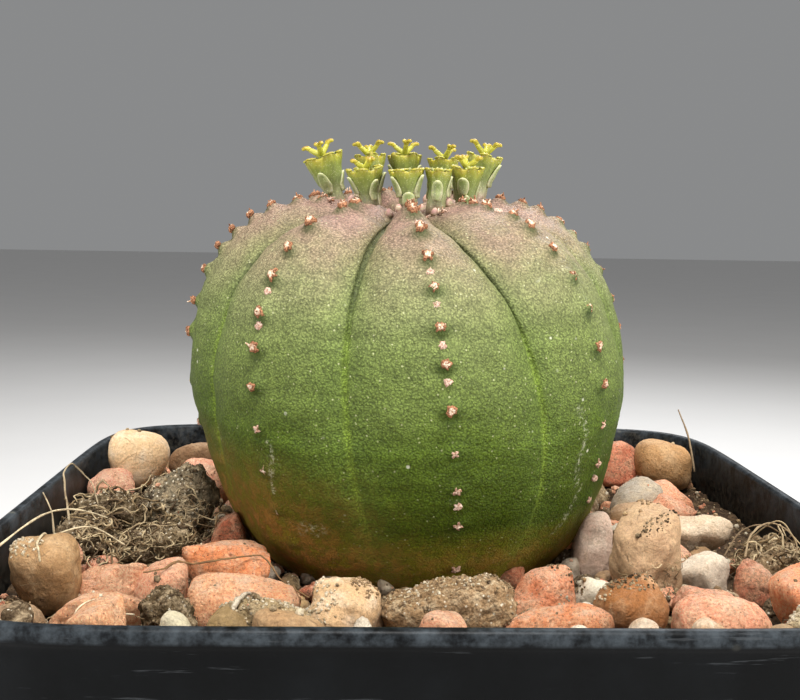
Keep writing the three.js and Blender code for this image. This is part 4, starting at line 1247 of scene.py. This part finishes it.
# Every stone of the CAD model. A square of 3 is a rounded pebble and one of 9 a sharp block.
# A dent is (direction in the stone's own frame, radius, depth).
Stone = namedtuple("Stone", "kind tint size turn square rough dents", defaults=[()])
STONES = {
    "ochre_pebble": Stone("brown", "ac8558", (6.6, 7.0, 7.6), 12, 3.2, 0.12),
    "salmon_shard_left": Stone("brick", "bd7f64", (4.4, 4.6, 5.6), 30, 7, 0.07),
    "salmon_ridge": Stone("brick", "d69874", (7.2, 5.0, 5.4), 14, 5, 0.09,
                          [((0.1, -0.7, 0.6), 1.3, 0.8)]),
    "salmon_slab_front_left": Stone("brick", "d99c74", (9.4, 6.0, 5.3), 12, 4.2, 0.06),
    "salmon_wedge_front_left": Stone("brick", "d69a70", (5.2, 7.4, 6.6), -10, 5, 0.06),
    "tan_pebble_front_left": Stone("brown", "9c7c5c", (6.6, 6.4, 6.0), 20, 3, 0.08),
    "dark_crumb_front": Stone("earth", "54452f", (4.6, 5.4, 5.8), 35, 3, 0.22),
    "rose_pebble": Stone("brick", "d59a7a", (5.2, 4.8, 5.6), 5, 3, 0.05),
    "brick_block": Stone("brick", "c9794c", (9.4, 7.0, 6.3), 9, 9, 0.045,
                         [((0.55, -0.35, 0.75), 1.8, 1.0), ((-0.3, -0.9, 0.1), 1.2, 0.35)]),
    "brick_bar_front": Stone("brick", "d6976e", (10.4, 5.2, 5.2), 4, 4, 0.05),
    "sandy_crumb": Stone("earth", "a08a66", (9.0, 5.4, 6.0), -6, 3, 0.14),
    "brown_pebble_front": Stone("brown", "b08a60", (6.6, 4.4, 6.8), 0, 3, 0.05),
    "buff_pebble": Stone("pale", "d9b285", (6.6, 6.0, 6.6), -12, 3.0, 0.16,
                         [((0.25, -0.95, 0.2), 1.2, 0.7), ((0.6, -0.3, 0.7), 1.3, 0.5)]),
    "earth_lump": Stone("earth", "987a58", (11.4, 6.6, 5.6), 3, 4, 0.13),
    "salmon_chip_front": Stone("brick", "d89a78", (5.2, 5.2, 6.6), 18, 5, 0.07),
    "brick_bar_long": Stone("brick", "c97e55", (10.8, 4.6, 5.6), -2, 9, 0.035,
                            [((0.1, -0.2, 1), 1.0, 0.25)]),
    "brick_shard": Stone("brick", "c67a56", (7.8, 5.6, 5.6), 20, 6, 0.07,
                         [((-0.7, -0.4, 0.5), 2.0, 0.8)]),
    "white_chip": Stone("pale", "d9cdb6", (4.0, 4.6, 4.8), -25, 6, 0.08),
    "caramel_pebble": Stone("brown", "a06530", (6.8, 5.8, 5.3), 4, 2.8, 0.08),
    "tan_block": Stone("brown", "bf9b76", (8.0, 7.6, 9.9), -8, 6.0, 0.11,
                       [((0.35, -0.8, -0.35), 1.6, 0.7)]),
    "salmon_pebble_right": Stone("brick", "c6856a", (6.2, 4.8, 4.6), 12, 5, 0.08),
    "salmon_slab_front_right": Stone("brick", "d69273", (8.6, 6.2, 6.2), -4, 4, 0.06),
    "brick_boulder": Stone("brick", "e08c62", (9.4, 8.4, 7.4), 22, 5, 0.07),
    "pale_chip_right": Stone("pale", "d3c2ac", (5.2, 5.4, 5.4), 40, 6, 0.10),
    "dark_brick_right": Stone("brick", "9d5f48", (4.8, 4.4, 5.2), -20, 6, 0.08),
    "grit_front_right": Stone("earth", "b4a484", (7.8, 6.0, 6.2), 15, 3, 0.20),
    "rose_white_pebble": Stone("pale", "c9ac98", (4.4, 5.2, 7.8), 10, 4, 0.05,
                               [((-0.2, -0.9, 0.4), 1.0, 0.7)]),
    "white_slab": Stone("pale", "d4ba9c", (9.2, 5.8, 6.2), -16, 5.0, 0.12,
                        [((0.35, -0.8, -0.45), 2.0, 1.6)]),
    "root_crumbs": Stone("earth", "7a6246", (6.6, 7.0, 5.0), -30, 2.6, 0.25),
    "grey_pebble_right": Stone("brown", "a89a86", (7.2, 6.0, 5.4), 25, 3, 0.06),
    "tan_pebble_back_right": Stone("brown", "bd8f5c", (8.2, 6.6, 7.4), 8, 3, 0.05),
    "brick_chip_back_right": Stone("brick", "c8765a", (6.4, 6.0, 7.6), -18, 7, 0.06),
    "cream_pebble_back_left": Stone("pale", "e9c496", (8.4, 7.8, 8.2), 14, 2.7, 0.035),
    "brown_pebble_back_left": Stone("brown", "94704e", (6.4, 6.0, 5.6), -22, 3, 0.05),
    "rose_pebble_back_left": Stone("brick", "dc9478", (7.0, 6.6, 6.9), 30, 4, 0.05),
    "brick_chip_left": Stone("brick", "b9694c", (4.0, 5.0, 7.2), -6, 6, 0.07),
    "earth_and_root_clump": Stone("earth", "5b4a37", (15.6, 15.0, 9.0), -14, 2.6, 0.24,
                                  [((0.30, -0.75, 0.35), 2.6, 2.4), ((-0.35, -0.7, 0.5), 2.0, 1.5)]),
    "brick_slab_behind": Stone("brick", "cc8262", (10.2, 6.4, 5.6), 10, 8, 0.05),
    "buff_pebble_behind": Stone("pale", "d3ae86", (7.6, 7.2, 6.2), -30, 3, 0.06),
}
# The clump is a heap of lumps: shift from its middle, size, turn and tint.
CLUMP = [
    ((3.6, 3.2, 0.9), (8.4, 7.6, 7.4), 20, "6f6552"),
    ((-3.4, 1.6, -0.4), (8.6, 8.0, 6.2), -30, "54452f"),
    ((-5.0, -4.6, -1.4), (7.2, 6.6, 4.6), 10, "4c3d2b"),
    ((1.0, -5.8, -1.9), (8.6, 5.0, 3.8), -15, "6a5a42"),
    ((5.4, -3.2, -1.6), (5.6, 5.2, 4.4), 35, "5e4d38"),
]
SLOTS = {"brick": "brick_gravel", "pale": "pale_gravel", "brown": "brown_gravel",
         "earth": "earth_crumb"}
# Above this square a stone is a broken piece, not a pebble.
BROKEN = 4
# Room between a stone and the stem, and between a stone and the pot's wall.
STEM_GAP = 0.15
WALL_GAP = 0.25
# In front of this level of y the stones are heaped towards the rim, up to its foot.
FRONT_HEAP = -36.5
HEAP_FOOT = -39.5
# How often a place for a small stone is tried, and the most places.
STONE_TRIES = 9000
MOST_STONES = 1500
# Above this level a place is on a stone, not on the soil.
STONE_LEVEL = 75.2
# Grains strewn over everything, and how densely the patches are filled.
LOOSE_GRAINS = 5200
PATCH_FILL = 2.2
# Planes that square a stone off: the six sides of its own box, in its own frame.
SIDES = np.array([(1, 0, 0), (-1, 0, 0), (0, 1, 0), (0, -1, 0), (0, 0, 1), (0, 0, -1)], float)


def rock(centre, size, turn, square, rough, seed, level, kind, dents=()):
    """A stone: planes cut from a ball, softened, then made uneven."""
    chance = np.random.RandomState(seed)
    dirs, faces = ball(level)
    broken = square > BROKEN
    # The six sides lean a little, and further planes knock its corners off.
    planes = [unit(side + chance.normal(size=3) * (0.20 if broken else 0.10)) for side in SIDES]
    depths = [chance.uniform(0.86, 1.04) for _ in SIDES]
    for _ in range(9 if broken else 5):
        planes.append(unit(chance.normal(size=3)))
        depths.append(chance.uniform(0.80, 1.08) if broken else chance.uniform(0.90, 1.1))
    power = square * 1.7 if broken else square
    planes, depths = np.array(planes), np.array(depths)
    facing = np.maximum(dirs @ planes.T / depths, 1e-6)
    radius = (facing ** power).sum(1) ** (-1 / power)
    points = dirs * radius[:, None]
    # The planes took some of its size off, which is given back.
    points = points * (2 / np.ptp(points, axis=0)) * np.array(size) / 2
    mean = sum(size) / 3
    offset = np.array([seed * 7.3, seed * 3.1, 0])
    bumps = rough * mean * 0.50 * fractal(points + offset, mean * 0.42, 4, 60)
    bumps = bumps + 0.05 * fractal(points + offset, 0.7, 2, 75)
    if kind == "brick":
        pores = value_noise(points + offset, 0.42, 70)
        bumps = bumps - 0.14 * step_up(pores, 0.40, 0.75)
    if kind == "earth":
        crumbs = value_noise(points + offset, 0.55, 71)
        bumps = bumps + 0.24 * crumbs + 0.30 * np.abs(value_noise(points + offset, 1.3, 72))
        bumps = bumps - 0.5 * step_up(value_noise(points + offset, 1.1, 73), 0.30, 0.60)
    for way, wide, deep in dents:
        spot = unit(way)
        reach = (np.maximum(planes @ spot / depths, 1e-6) ** power).sum()
        spot = spot * reach ** (-1 / power) * np.array(size) / 2
        away = np.linalg.norm(points - spot, axis=1)
        bumps = bumps - deep * np.exp(-(away / wide) ** 2 * 1.4)
    points = points + bumps[:, None] * unit(points / (np.array(size) / 2) ** 1.2)
    a = math.radians(turn)
    spin = np.array([[math.cos(a), -math.sin(a), 0], [math.sin(a), math.cos(a), 0], [0, 0, 1]])
    tilt = chance.uniform(-0.16, 0.16, 2)
    points[:, 2] += points[:, 0] * tilt[0] + points[:, 1] * tilt[1]
    return points @ spin.T + np.array(centre), faces


def keep_clear(points):
    """Moves points out of the stem and in from the pot's wall."""
    points = points.copy()
    z = np.clip(points[:, 2], SOIL_TOP - 4, STEM_CENTRE[2])
    from_axis = points[:, :2] - stem_axis(z)
    away = np.linalg.norm(from_axis, axis=1)
    least = stem_width(z) + STEM_GAP
    push = np.where(away < least, least / np.maximum(away, 1e-6), 1.0)
    points[:, :2] = stem_axis(z) + from_axis * push[:, None]
    half = np.where(points[:, 2] < POT_HEIGHT, inside_half(points[:, 2]) - WALL_GAP,
                    INNER_HALF + 0.4)
    reach = ((np.abs(points[:, :2]) / half[:, None]) ** OUTLINE_POWER).sum(1)
    reach = reach ** (1 / OUTLINE_POWER)
    points[:, :2] /= np.maximum(reach, 1.0)[:, None]
    return points


def tints(points, code, seed):
    """The stone's own tint with slow changes over its surface."""
    shift = 1 + 0.10 * fractal(points + seed, 3.0, 2, 80)
    return np.clip(np.outer(shift, rgb(code)), 0, 1)


# Tints of the small stones.
PALETTE = {
    "brick": ["d9906c", "cf8464", "e2a584", "b96a4e", "d59a80"],
    "pale": ["dcc6a4", "cdbba4", "e2d3bc", "c9a98a"],
    "brown": ["a9835a", "8d6a48", "b3915f", "96603a"],
    "earth": ["6a553e", "4b3b2b", "8a7556"],
}
# Small stones of the front that have known places: look, tint, x, y and size.
KNOWN_STONES = [
    ("pale", "efe4d2", 14.0, -28.5, 2.6), ("pale", "e4d8c4", 16.0, -24.6, 2.4),
    ("pale", "c9a27c", 22.6, -38.8, 4.2), ("earth", "77664e", -39.8, -36.7, 4.4),
    ("earth", "5d4c38", -35.6, -36.8, 3.4), ("pale", "b9a684", -36.8, -39.2, 2.8),
    ("brick", "e2b7a4", -25.0, -12.4, 2.8), ("pale", "cdb08c", 30.5, -20.6, 3.2),
    ("pale", "cfc3a2", -21.5, -38.6, 3.8), ("brick", "dc9a88", -39.5, 2.0, 3.4),
    ("pale", "c8b89c", 30.2, -31.0, 3.2), ("pale", "e6d9c6", -29.0, -18.0, 2.4),
    ("brick", "c77d60", -33.6, -13.0, 3.4), ("brown", "8f7448", -17.4, -39.0, 3.6),
    ("brick", "cf8a70", 6.8, -39.6, 3.4), ("brown", "a48660", 28.8, -39.4, 3.6),
    ("pale", "d8c6a6", 39.4, -39.0, 3.2), ("brick", "c98468", 40.0, -19.2, 3.6),
]


def big_stones(looks, taken):
    """The stones of the CAD model, each one piece. Notes in taken where they lie."""
    solids = []
    for index, (name, stone) in enumerate(STONES.items()):
        kind, tint, size, turn, square, rough, dents = stone
        low, high = (np.array(corner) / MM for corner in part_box(name))
        centre = (low + high) / 2
        top = high[2]
        if square > BROKEN:
            size = (size[0] * 0.96, size[1] * 0.92, size[2] * 0.92)
            top -= 0.7 if centre[1] > -34 else 0.0
        centre[2] = max(top - size[2] / 2, SOIL_TOP + 0.12 * size[2])
        big = max(size) > 8.5 or name in ("ochre_pebble", "buff_pebble", "caramel_pebble")
        soup = Soup()
        if name == "earth_and_root_clump":
            parts = CLUMP
        else:
            parts = [((0, 0, 0), size, turn, tint)]
        for part, (shift, own_size, own_turn, own_tint) in enumerate(parts):
            points, faces = rock(
                centre + np.array(shift), own_size, own_turn, square, rough,
                index + 1 + 1000 * part, 5 if big or centre[1] < -20 else 4, kind, dents)
            points = keep_clear(points)
            soup.add(points, faces, tint=tints(points, own_tint, index + 1))
            solids.append((points, faces))
        soup.make(f"stone_{name}", looks[kind], SLOTS[kind], [name])
        taken.append((centre[0], centre[1], (size[0] + size[1]) / 4))
    return solids


def small_stones(looks, taken):
    """Smaller stones that fill the gaps, one piece for each look."""
    solids = []
    filler = {kind: Soup() for kind in SLOTS}
    chance = np.random.RandomState(5)
    tries = 0
    spots = list(KNOWN_STONES)
    while len(spots) < MOST_STONES and tries < STONE_TRIES:
        tries += 1
        x, y = chance.uniform(-42, 42, 2)
        small = chance.uniform()
        big = 4.6 if y > -8 else 3.2
        size = 1.6 + (big - 1.6) * small ** 1.6 + (2.2 if y > 8 and small > 0.6 else 0)
        kind = chance.choice(["brick", "pale", "brown", "earth"], p=[0.40, 0.22, 0.22, 0.16])
        spots.append((kind, PALETTE[kind][chance.randint(len(PALETTE[kind]))], x, y, size))
    for order, (kind, tint, x, y, size) in enumerate(spots):
        fixed = order < len(KNOWN_STONES)
        half = size / 2
        if max(abs(x), abs(y)) > 43.0 - half * 0.8:
            continue
        axis = stem_axis(SOIL_TOP + half)
        if math.hypot(x - axis[0], y - axis[1]) < stem_width(SOIL_TOP + half) + half * 0.5:
            continue
        crowd = [math.hypot(x - a, y - b) - 0.76 * (r + half) for a, b, r in taken]
        # By the right wall the soil lies bare.
        if not fixed and (min(crowd) < 0 or (x > 35 and -13 < y < 28)):
            continue
        taken.append((x, y, half * 0.9))
        shape = (size, size * chance.uniform(0.7, 1.0), size * chance.uniform(0.7, 1.05))
        square = 7 if kind == "brick" else 3.2
        lift = SOIL_TOP + shape[2] * chance.uniform(0.12, 0.45)
        if y < FRONT_HEAP:
            high = chance.uniform(4.9, 6.4)
            shape = (shape[0], shape[1], high if y > HEAP_FOOT and size > 2.4 else 3.6)
            lift = SOIL_TOP + shape[2] * 0.44
        points, faces = rock((x, y, lift), shape, chance.uniform(0, 180), square,
                             0.09 if kind != "earth" else 0.2, 300 + order,
                             4 if size > 2.6 and y < 0 else 3, kind)
        points = keep_clear(points)
        filler[kind].add(points, faces, tint=tints(points, tint, order))
        solids.append((points, faces))
    for kind, soup in filler.items():
        soup.make(f"small_gravel_{kind}", looks[kind], SLOTS[kind])
    return solids


def surface_tree(solids):
    """All solids in one tree, for finding the surface below or beside a point."""
    points, faces, count = [], [], 0
    for body, shape in solids:
        points.extend(Vector(p) for p in body)
        faces.extend([i + count for i in face] for face in shape)
        count += len(body)
    return BVHTree.FromPolygons(points, faces)


GRIT_COLOURS = {
    "pale": ["cbb896", "b7a27e", "ddd0b6"], "brown": ["94764f", "73583a", "a98a60"],
    "earth": ["6b583f", "4a3b2b", "8a7658"], "brick": ["e0a080", "c27758"],
}
# Round patches where grains are dense: x, y, radius, number and kind.
GRIT_PATCHES = [
    (-14.6, -34.6, 4.4, 190, "pale"), (-11.0, -33.4, 2.6, 80, "pale"),
    (-23.4, -33.2, 2.8, 90, "earth"), (-5.4, -31.0, 2.2, 80, "brown"),
    (0.2, -31.2, 5.0, 220, "brown"), (0.2, -31.2, 5.0, 90, "pale"),
    (18.9, -26.6, 2.8, 90, "earth"), (24.6, -21.0, 3.4, 110, "earth"),
    (34.6, -36.4, 4.2, 190, "pale"), (38.0, -11.4, 4.0, 120, "earth"),
    (-31.0, -4.4, 7.4, 420, "earth"), (-31.0, -4.4, 7.4, 160, "pale"),
    (-39.4, -26.0, 3.0, 90, "pale"), (14.0, -28.0, 3.0, 70, "pale"),
    (13.6, -21.8, 2.4, 40, "earth"), (-40.0, -33.0, 3.0, 80, "brown"),
    (28.6, -31.6, 3.0, 60, "brown"), (24.6, -13.6, 2.4, 60, "brown"),
    (-2.2, -24.4, 3.0, 40, "brown"), (6.4, -31.4, 2.6, 60, "earth"),
]


def grit(looks, tree):
    """Loose grains on the soil, in the gaps and here and there on the stones."""
    chance = np.random.RandomState(77)
    spots = []
    for x, y, wide, count, kind in GRIT_PATCHES:
        for _ in range(int(PATCH_FILL * count)):
            a, r = chance.uniform(0, 6.3), wide * math.sqrt(chance.uniform())
            spots.append((x + r * math.cos(a), y + r * math.sin(a), kind, True))
    for _ in range(LOOSE_GRAINS):
        x, y = chance.uniform(-43, 43, 2)
        kind = chance.choice(["pale", "brown", "earth", "brick"], p=[0.2, 0.3, 0.35, 0.15])
        spots.append((x, y, kind, False))
    soups = {kind: Soup() for kind in GRIT_COLOURS}
    for x, y, kind, dense in spots:
        if max(abs(x), abs(y)) > 42.9:
            continue
        hit, normal, _, _ = tree.ray_cast(Vector((x, y, 100)), Vector((0, 0, -1)))
        if hit is None:
            continue
        # Few loose grains stay on top of the stones.
        if not dense and hit.z > STONE_LEVEL and chance.uniform() < 0.90:
            continue
        if normal.z < 0.35:
            continue
        axis = stem_axis(hit.z)
        if math.hypot(x - axis[0], y - axis[1]) < stem_width(hit.z + 0.4) + 0.4:
            continue
        size = chance.uniform(0.07, 0.20) if dense else 0.14 + 0.36 * chance.uniform() ** 3
        dirs, faces = ball(1 if size < 0.5 else 2)
        shape = dirs * (size * chance.uniform(0.65, 1.1, 3))
        shape = shape * (1 + chance.uniform(-0.18, 0.18, len(dirs)))[:, None]
        turn = chance.uniform(0, 6)
        spin = np.array(Matrix.Rotation(turn, 3, Vector(unit(chance.normal(size=3)))))
        body = shape @ spin.T + [x, y, hit.z + size * 0.30]
        code = GRIT_COLOURS[kind][chance.randint(len(GRIT_COLOURS[kind]))]
        soups[kind].add(body, faces, tint=rgb(code, chance.uniform(0.8, 1.1)))
    for kind, soup in soups.items():
        soup.make(f"grit_{kind}", looks[kind], SLOTS[kind])


# ---- Roots and twigs ----

# Tangles of roots: x, y, radius, number of strands, hump, thickness and height over the soil.
TANGLES = [
    (-31.6, -4.6, 8.6, 300, 1.1, 0.12, 7.0),
    (-34.0, -9.0, 6.5, 150, 1.0, 0.11, 4.5),
    (-28.0, -9.5, 5.0, 80, 0.8, 0.10, 4.0),
    (38.0, -11.4, 4.2, 90, 1.5, 0.12, 4.5),
    (-23.4, -33.2, 2.8, 26, 0.5, 0.07, 4.0),
    (23.4, -20.6, 3.2, 40, 0.6, 0.08, 4.5),
    (34.6, -35.0, 4.0, 20, 0.4, 0.07, 4.0),
    (-38.0, -31.0, 4.4, 20, 0.5, 0.09, 4.0),
    (-39.0, -33.0, 3.6, 10, 0.4, 0.16, 4.0),
]
# Single hairs and twigs: points, thickness and tint.
HAIRS = [
    ([(-26.8, -27.0, 78.8), (-22.2, -23.0, 78.5), (-17.5, -19.5, 78.2),
      (-16.0, -20.5, 78.1), (-13.8, -25.0, 77.2), (-11.2, -30.0, 77.5)], 0.13, "7d5f3e"),
    ([(-42.8, -31.0, 76.5), (-41.2, -28.6, 79.9), (-39.6, -25.0, 81.6), (-38.1, -19.0, 82.2),
      (-36.2, -15.0, 81.6), (-33.6, -12.0, 80.0)], 0.17, "cdbd9c"),
    ([(-36.2, -27.5, 78.9), (-37.0, -25.5, 79.9), (-37.2, -22.0, 80.4),
      (-36.5, -19.0, 80.3), (-34.4, -15.5, 79.9), (-31.4, -14.0, 77.6)], 0.17, "c4b392"),
    ([(-37.4, -13.0, 80.0), (-38.2, -11.4, 83.4), (-38.6, -10.0, 84.4),
      (-38.3, -8.0, 84.9), (-37.3, -7.0, 83.5), (-36.4, -7.0, 82.4),
      (-35.5, -8.0, 80.4)], 0.15, "a8977a"),
    ([(-37.8, -17.0, 79.5), (-38.1, -17.0, 82.1), (-38.9, -17.0, 83.9)], 0.12, "b9a88a"),
    ([(-31.6, -39.4, 77.8), (-29.6, -38.0, 77.8), (-28.8, -35.0, 77.8),
      (-26.4, -33.4, 77.0)], 0.15, "d8c6a6"),
    ([(-18.6, -37.0, 77.7), (-17.5, -36.0, 78.3), (-16.2, -34.0, 78.6)], 0.40, "b9ad98"),
    ([(41.6, 28.6, 76.5), (41.2, 30.0, 80.2), (40.8, 31.0, 82.2), (39.8, 32.0, 85.0)],
     0.20, "8f7c62"),
    ([(33.0, -18.0, 78.0), (34.4, -15.6, 79.6), (37.0, -12.8, 80.1), (38.8, -12.6, 79.7),
      (39.8, -14.0, 78.6), (39.3, -16.0, 77.2)], 0.15, "8f7b5e"),
    ([(32.0, -14.6, 77.0), (34.6, -12.0, 79.0), (38.0, -10.4, 79.2), (41.0, -11.6, 77.4)],
     0.13, "6e5b43"),
    ([(35.6, -10.0, 77.0), (37.8, -13.6, 80.6), (39.0, -15.6, 79.4), (40.6, -17.4, 77.4)],
     0.12, "a08d6c"),
    ([(4.5, -26.0, 77.0), (4.9, -25.0, 77.8), (5.9, -25.0, 77.8), (6.2, -26.0, 76.4)],
     0.12, "b9a88c"),
]


def fibres(look, tree):
    """Dry roots: tangles on the two clumps, and single hairs over the gravel."""
    chance = np.random.RandomState(99)
    soup = Soup()

    def level(x, y, lift):
        """A level just above whatever lies at a place."""
        hit = tree.ray_cast(Vector((x, y, 100)), Vector((0, 0, -1)))[0]
        return (hit.z if hit is not None else SOIL_TOP) + lift

    def tangle(x, y, wide, count, lift, thick, top):
        """Strands that wander over the nearest surface, humped between their ends."""
        for _ in range(count):
            a, r = chance.uniform(0, 6.3), wide * math.sqrt(chance.uniform())
            spot = np.array([x + r * math.cos(a), y + r * math.sin(a),
                             SOIL_TOP + chance.uniform(0.5, top)])
            way = unit(chance.normal(size=3) * [1, 1, 0.35])
            long = chance.uniform(0.6, 1.7) * wide * 0.5
            high = chance.uniform(0.05, 1.0) ** 2 * lift
            path = []
            for node in range(8):
                found, normal, _, _ = tree.find_nearest(Vector(spot))
                hump = 0.08 + high * math.sin(math.pi * node / 7)
                here = np.array(found) + np.array(normal) * (hump + chance.uniform(0, 0.12))
                here[2] = max(here[2], SOIL_TOP + 0.1)
                path.append(here)
                way = unit(way + 0.65 * chance.normal(size=3) * [1, 1, 0.5])
                spot = here + way * long / 7
            path = smooth_path(keep_clear(np.array(path)), 4)
            size = chance.uniform(0.4, 1.2) * thick
            body, faces = tube(path, np.linspace(size, size * 0.5, len(path)), 5)
            code = chance.choice(["a89473", "8b7656", "6b573d", "bda985", "4d3d2b"])
            soup.add(body, faces, tint=rgb(str(code)))

    for patch in TANGLES:
        tangle(*patch)
    for nodes, thick, code in HAIRS:
        path = smooth_path(keep_clear(np.array(nodes)), 8)
        # No part of a hair runs inside a stone.
        for point in path:
            point[2] = max(point[2], level(point[0], point[1], thick))
        path = path + 0.05 * np.stack([value_noise(path, 0.9, s) for s in (1, 2, 3)], 1)
        sizes = thick * (0.8 + 0.3 * value_noise(path, 1.5, 9))
        sizes = sizes * np.interp(np.arange(len(path)), [0, len(path) - 1], [1.0, 0.6])
        soup.add(*tube(path, sizes, 7), tint=rgb(code))
    soup.make("dry_roots", look, "earth_crumb")


# ---- Scene ----

looks = {
    "brick": brick_look(),
    "pale": pebble_look("pale_stone_look", "a98c6c", "f3e6d0", "7b5f44", 0.82, 0.3),
    "brown": pebble_look("brown_stone_look", "6e4c2c", "dcbb90", "4b3320", 0.6, 0.45),
    "earth": earth_look(),
}
pot(pot_look())
soil_points, soil_faces = soil(soil_look())
stem_points, stem_faces = stem(skin_look())
scar = scar_look()
scars(scar)
crown = flowers(cup_look(), style_look(), stem_points, stem_faces)
crown_litter(scar, bud_look(), crown)
taken = []
solids = big_stones(looks, taken) + small_stones(looks, taken)
ground = surface_tree(solids + [(soil_points, soil_faces)])
grit(looks, ground)
fibres(fibre_look(), ground)

# A pale sheet of paper far larger than the pot.
floor_mesh = bpy.data.meshes.new("floor")
floor_mesh.from_pydata([(-4, -4, 0), (4, -4, 0), (4, 4, 0), (-4, 4, 0)], [], [(0, 1, 2, 3)])
floor = bpy.data.objects.new("floor", floor_mesh)
bpy.context.scene.collection.objects.link(floor)
paper = Look("floor_look", roughness=0.9, specular=0.1)
paper.set("Base Color", paper.mix(paper.noise(60, 3), (0.72, 0.71, 0.70), (0.76, 0.75, 0.74)))
floor_mesh.materials.append(paper.material)


LIGHT_TARGET = Vector((0, 0, 0.09))


def area_light(name, place, size, power, colour):
    """A round soft light that points at the plant."""
    data = bpy.data.lights.new(name, "AREA")
    data.shape, data.size, data.energy, data.color = "DISK", size, power, colour
    lamp = bpy.data.objects.new(name, data)
    lamp.location = place
    way = LIGHT_TARGET - Vector(place)
    lamp.rotation_euler = way.to_track_quat("-Z", "Y").to_euler()
    bpy.context.scene.collection.objects.link(lamp)


# Place, size, power and colour of each soft light.
LIGHTS = {
    "key": ((0.02, -0.20, 0.62), 0.22, 5.1, (1.0, 0.985, 0.955)),
    "fill": ((0.10, -0.70, 0.26), 0.40, 0.6, (1.0, 0.99, 0.97)),
    "side": ((0.52, -0.28, 0.22), 0.26, 3.1, (1.0, 0.985, 0.95)),
    "left": ((-0.48, -0.36, 0.18), 0.30, 2.0, (1.0, 0.99, 0.97)),
    "back": ((0.16, 0.45, 0.50), 0.30, 2.2, (0.97, 0.985, 1.0)),
}
for name, light in LIGHTS.items():
    area_light(name, *light)

world = bpy.data.worlds.new("studio")
world.use_nodes = True
world.node_tree.nodes["Background"].inputs[0].default_value = (0.74, 0.75, 0.76, 1)
world.node_tree.nodes["Background"].inputs[1].default_value = 0.34
bpy.context.scene.world = world
bpy.context.scene.view_settings.view_transform = "Standard"

# The camera looks slightly down at the front of the pot.
CAMERA_PLACE = (-0.006326, -0.128344, 0.111403)
YAW, PITCH, ROLL = 0.031, -0.112, 0.016
LENS, SENSOR = 49.98, 36
flat = math.cos(PITCH)
forward = Vector((math.sin(YAW) * flat, math.cos(YAW) * flat, math.sin(PITCH)))
right = Vector((math.cos(YAW), -math.sin(YAW), 0))
upward = right.cross(forward)
turned = math.cos(ROLL) * right + math.sin(ROLL) * upward
upright = -math.sin(ROLL) * right + math.cos(ROLL) * upward
camera = bpy.data.objects.new("camera", bpy.data.cameras.new("camera"))
camera.data.lens, camera.data.sensor_width = LENS, SENSOR
camera.data.clip_start = 0.005
axes = Matrix((turned, upright, -forward)).transposed().to_4x4()
camera.matrix_world = Matrix.Translation(CAMERA_PLACE) @ axes
bpy.context.scene.collection.objects.link(camera)
bpy.context.scene.camera = camera
